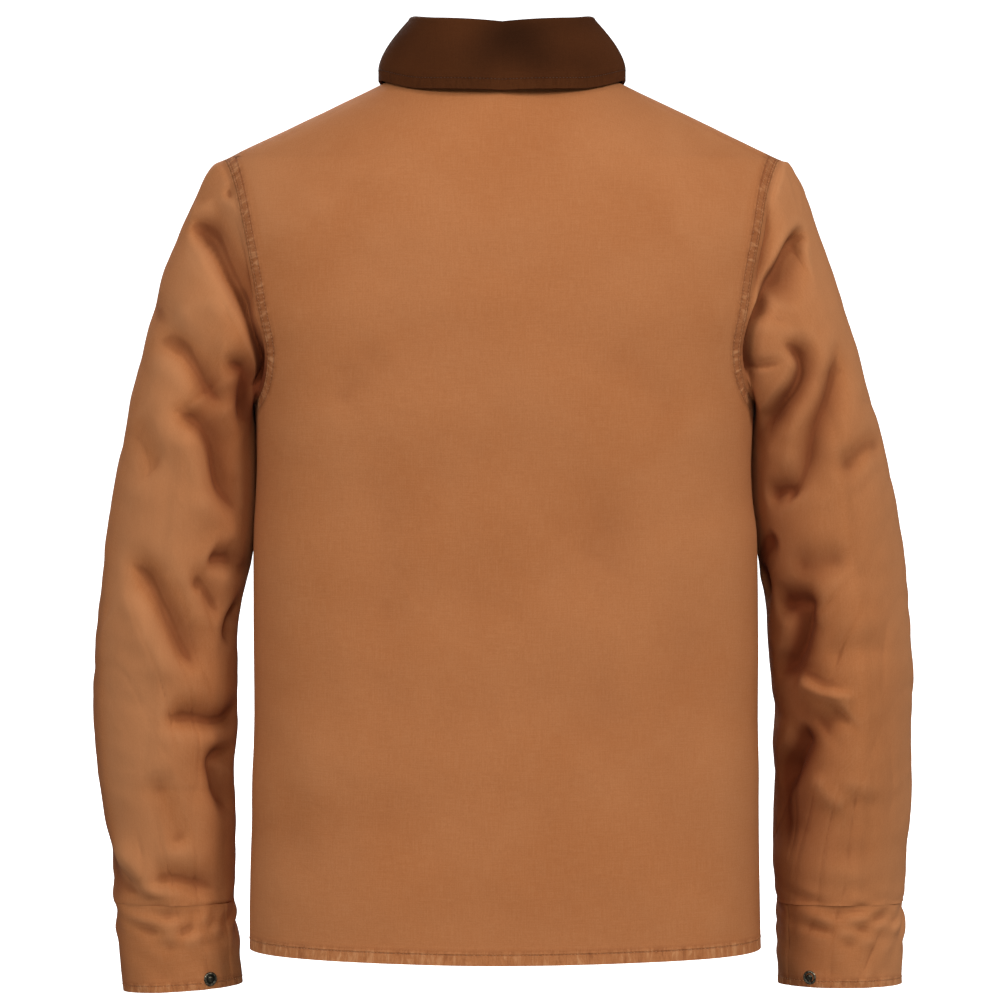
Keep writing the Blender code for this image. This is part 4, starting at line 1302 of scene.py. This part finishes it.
# Painted shade: the leaf is darker in a soft patch across its middle, with small seeded changes
# of tone on top.
leaf_shade = 0.62 * np.exp(-(((x + 0.012) / 0.052) ** 2) - ((z - 0.026) / 0.024) ** 2)
leaf_shade += 0.10 * ripple(x, z, 0.045, 61)
leaf_piece = cloth(
    "collar_leaf_cloth", leaf, BROWN, ["collar_fall"],
    wall=COLLAR_CLOTH, shade=leaf_shade, seams=[(leaf[-1], LEAF_SEAM)],
)
stitches("stitching_collar", [inset(leaf[::-1], LEAF_ROW)], [leaf_piece], BROWN_THREAD)


# A snap cap's outline from its middle, over its rim and back: radius, height.
SNAP_PROFILE = (
    (0, 2.55), (0.7, 2.6), (1.5, 2.45), (2.2, 2.1), (2.7, 1.6), (3.1, 1.35), (3.5, 1.5),
    (3.8, 1.85), (4.3, 2.05), (4.9, 2.0), (5.4, 1.6), (5.7, 1.1), (5.75, 0.7), (5.6, 0.25),
    (5.3, 0), (0, 0),
)


def snap_cap():
    """One snap cap's mesh, turned from a fine profile."""
    build = bmesh.new()
    line = [build.verts.new((radius * MM, 0, height * MM)) for radius, height in SNAP_PROFILE]
    edges = [build.edges.new(pair) for pair in zip(line, line[1:])]
    bmesh.ops.spin(
        build, geom=line + edges, cent=(0, 0, 0), axis=(0, 0, 1), angle=2 * math.pi, steps=48
    )
    bmesh.ops.remove_doubles(build, verts=build.verts, dist=1e-6)
    bmesh.ops.recalc_face_normals(build, faces=build.faces)
    mesh = bpy.data.meshes.new("snap_cap")
    build.to_mesh(mesh)
    build.free()
    mesh.shade_smooth()
    mesh.materials.append(SNAP)
    return mesh


# Each cap stands on its CAD node's seat and faces along that node's short axis.
cap = snap_cap()
front_snaps = [f"snap_front_{index + 1}" for index in range(FRONT_SNAP_COUNT)]
for node in (*front_snaps, "snap_cuff_left", "snap_cuff_right"):
    solid = bpy.data.objects[node]
    points = np.array([solid.matrix_world @ vertex.co for vertex in solid.data.vertices])
    centre = points.mean(axis=0)
    axis = np.linalg.svd(points - centre, full_matrices=False)[2][2]
    axis *= np.sign(axis[1]) * (-1 if node in front_snaps else 1)
    base = centre + axis * ((points - centre) @ axis).min()
    piece = placed(f"cap_{node}", cap)
    turn = Vector(axis).to_track_quat("Z", "Y").to_matrix().to_4x4()
    piece.matrix_world = Matrix.Translation(Vector(base)) @ turn
    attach(piece, "root")
    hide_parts(node)

# -------- the stage

FLOOR = -0.80
FLOOR_END, SWEEP_RADIUS = -3.6, 0.9
WALL_TOP, HALF_WIDTH = 3.4, 5
LIGHTS = (
    # name, size, power, position, colour
    ("key", 1.3, 94, (-2.7, 2.9, 2.0), (1.0, 0.99, 0.97)),
    ("front", 1.3, 53, (-0.3, 4.1, 1.2), (1.0, 1.0, 1.0)),
    ("fill", 1.3, 44, (2.5, 2.6, 1.4), (1.0, 1.0, 1.0)),
    ("far side", 1.6, 90, (0.7, -3.4, 1.7), (1.0, 1.0, 1.0)),
)
LIGHTS_AIM = Vector((0, 0, -0.33))
CAMERA_PLACE = (0.0016, 3.2, -0.332)
WHITE = (1, 1, 1, 1)


def stage():
    """A pale floor that sweeps up behind."""
    profile = [(y, FLOOR) for y in (4.2, 2.0, 0.0, FLOOR_END)]
    for angle in np.linspace(0.15, math.pi / 2, 12):
        out, up = math.sin(angle), 1 - math.cos(angle)
        profile.append((FLOOR_END - SWEEP_RADIUS * out, FLOOR + SWEEP_RADIUS * up))
    profile.append((FLOOR_END - SWEEP_RADIUS, WALL_TOP))
    verts = [(x, y, z) for y, z in profile for x in (-HALF_WIDTH, HALF_WIDTH)]
    faces = [(2 * i, 2 * i + 1, 2 * i + 3, 2 * i + 2) for i in range(len(profile) - 1)]
    paper = Net("paper").surface({
        "Base Color": (0.92, 0.92, 0.92, 1),
        "Roughness": 0.9,
        "Specular IOR Level": 0.1,
        "Emission Color": WHITE,
        "Emission Strength": 1.0,
    })
    sweep = placed("sweep", smooth_mesh("sweep", verts, faces, paper))
    sweep.visible_diffuse = False
    sweep.visible_glossy = False


stage()
for name, size, power, position, colour in LIGHTS:
    light = bpy.data.lights.new(name, "AREA")
    light.shape = "DISK"
    light.size = size
    light.energy = power
    light.color = colour
    lamp = placed(name, light)
    lamp.location = position
    aim = LIGHTS_AIM - Vector(position)
    lamp.rotation_euler = aim.to_track_quat("-Z", "Y").to_euler()

world = bpy.data.worlds.new("studio")
world.use_nodes = True
background = world.node_tree.nodes["Background"]
background.inputs["Color"].default_value = WHITE
background.inputs["Strength"].default_value = 0.30
bpy.context.scene.world = world
bpy.context.scene.view_settings.view_transform = "Standard"

camera = bpy.data.cameras.new("camera")
camera.sensor_width = 36
camera.lens = 144
eye = placed("camera", camera)
eye.location = CAMERA_PLACE
eye.rotation_euler = (math.pi / 2, 0, math.pi)
bpy.context.scene.camera = eye
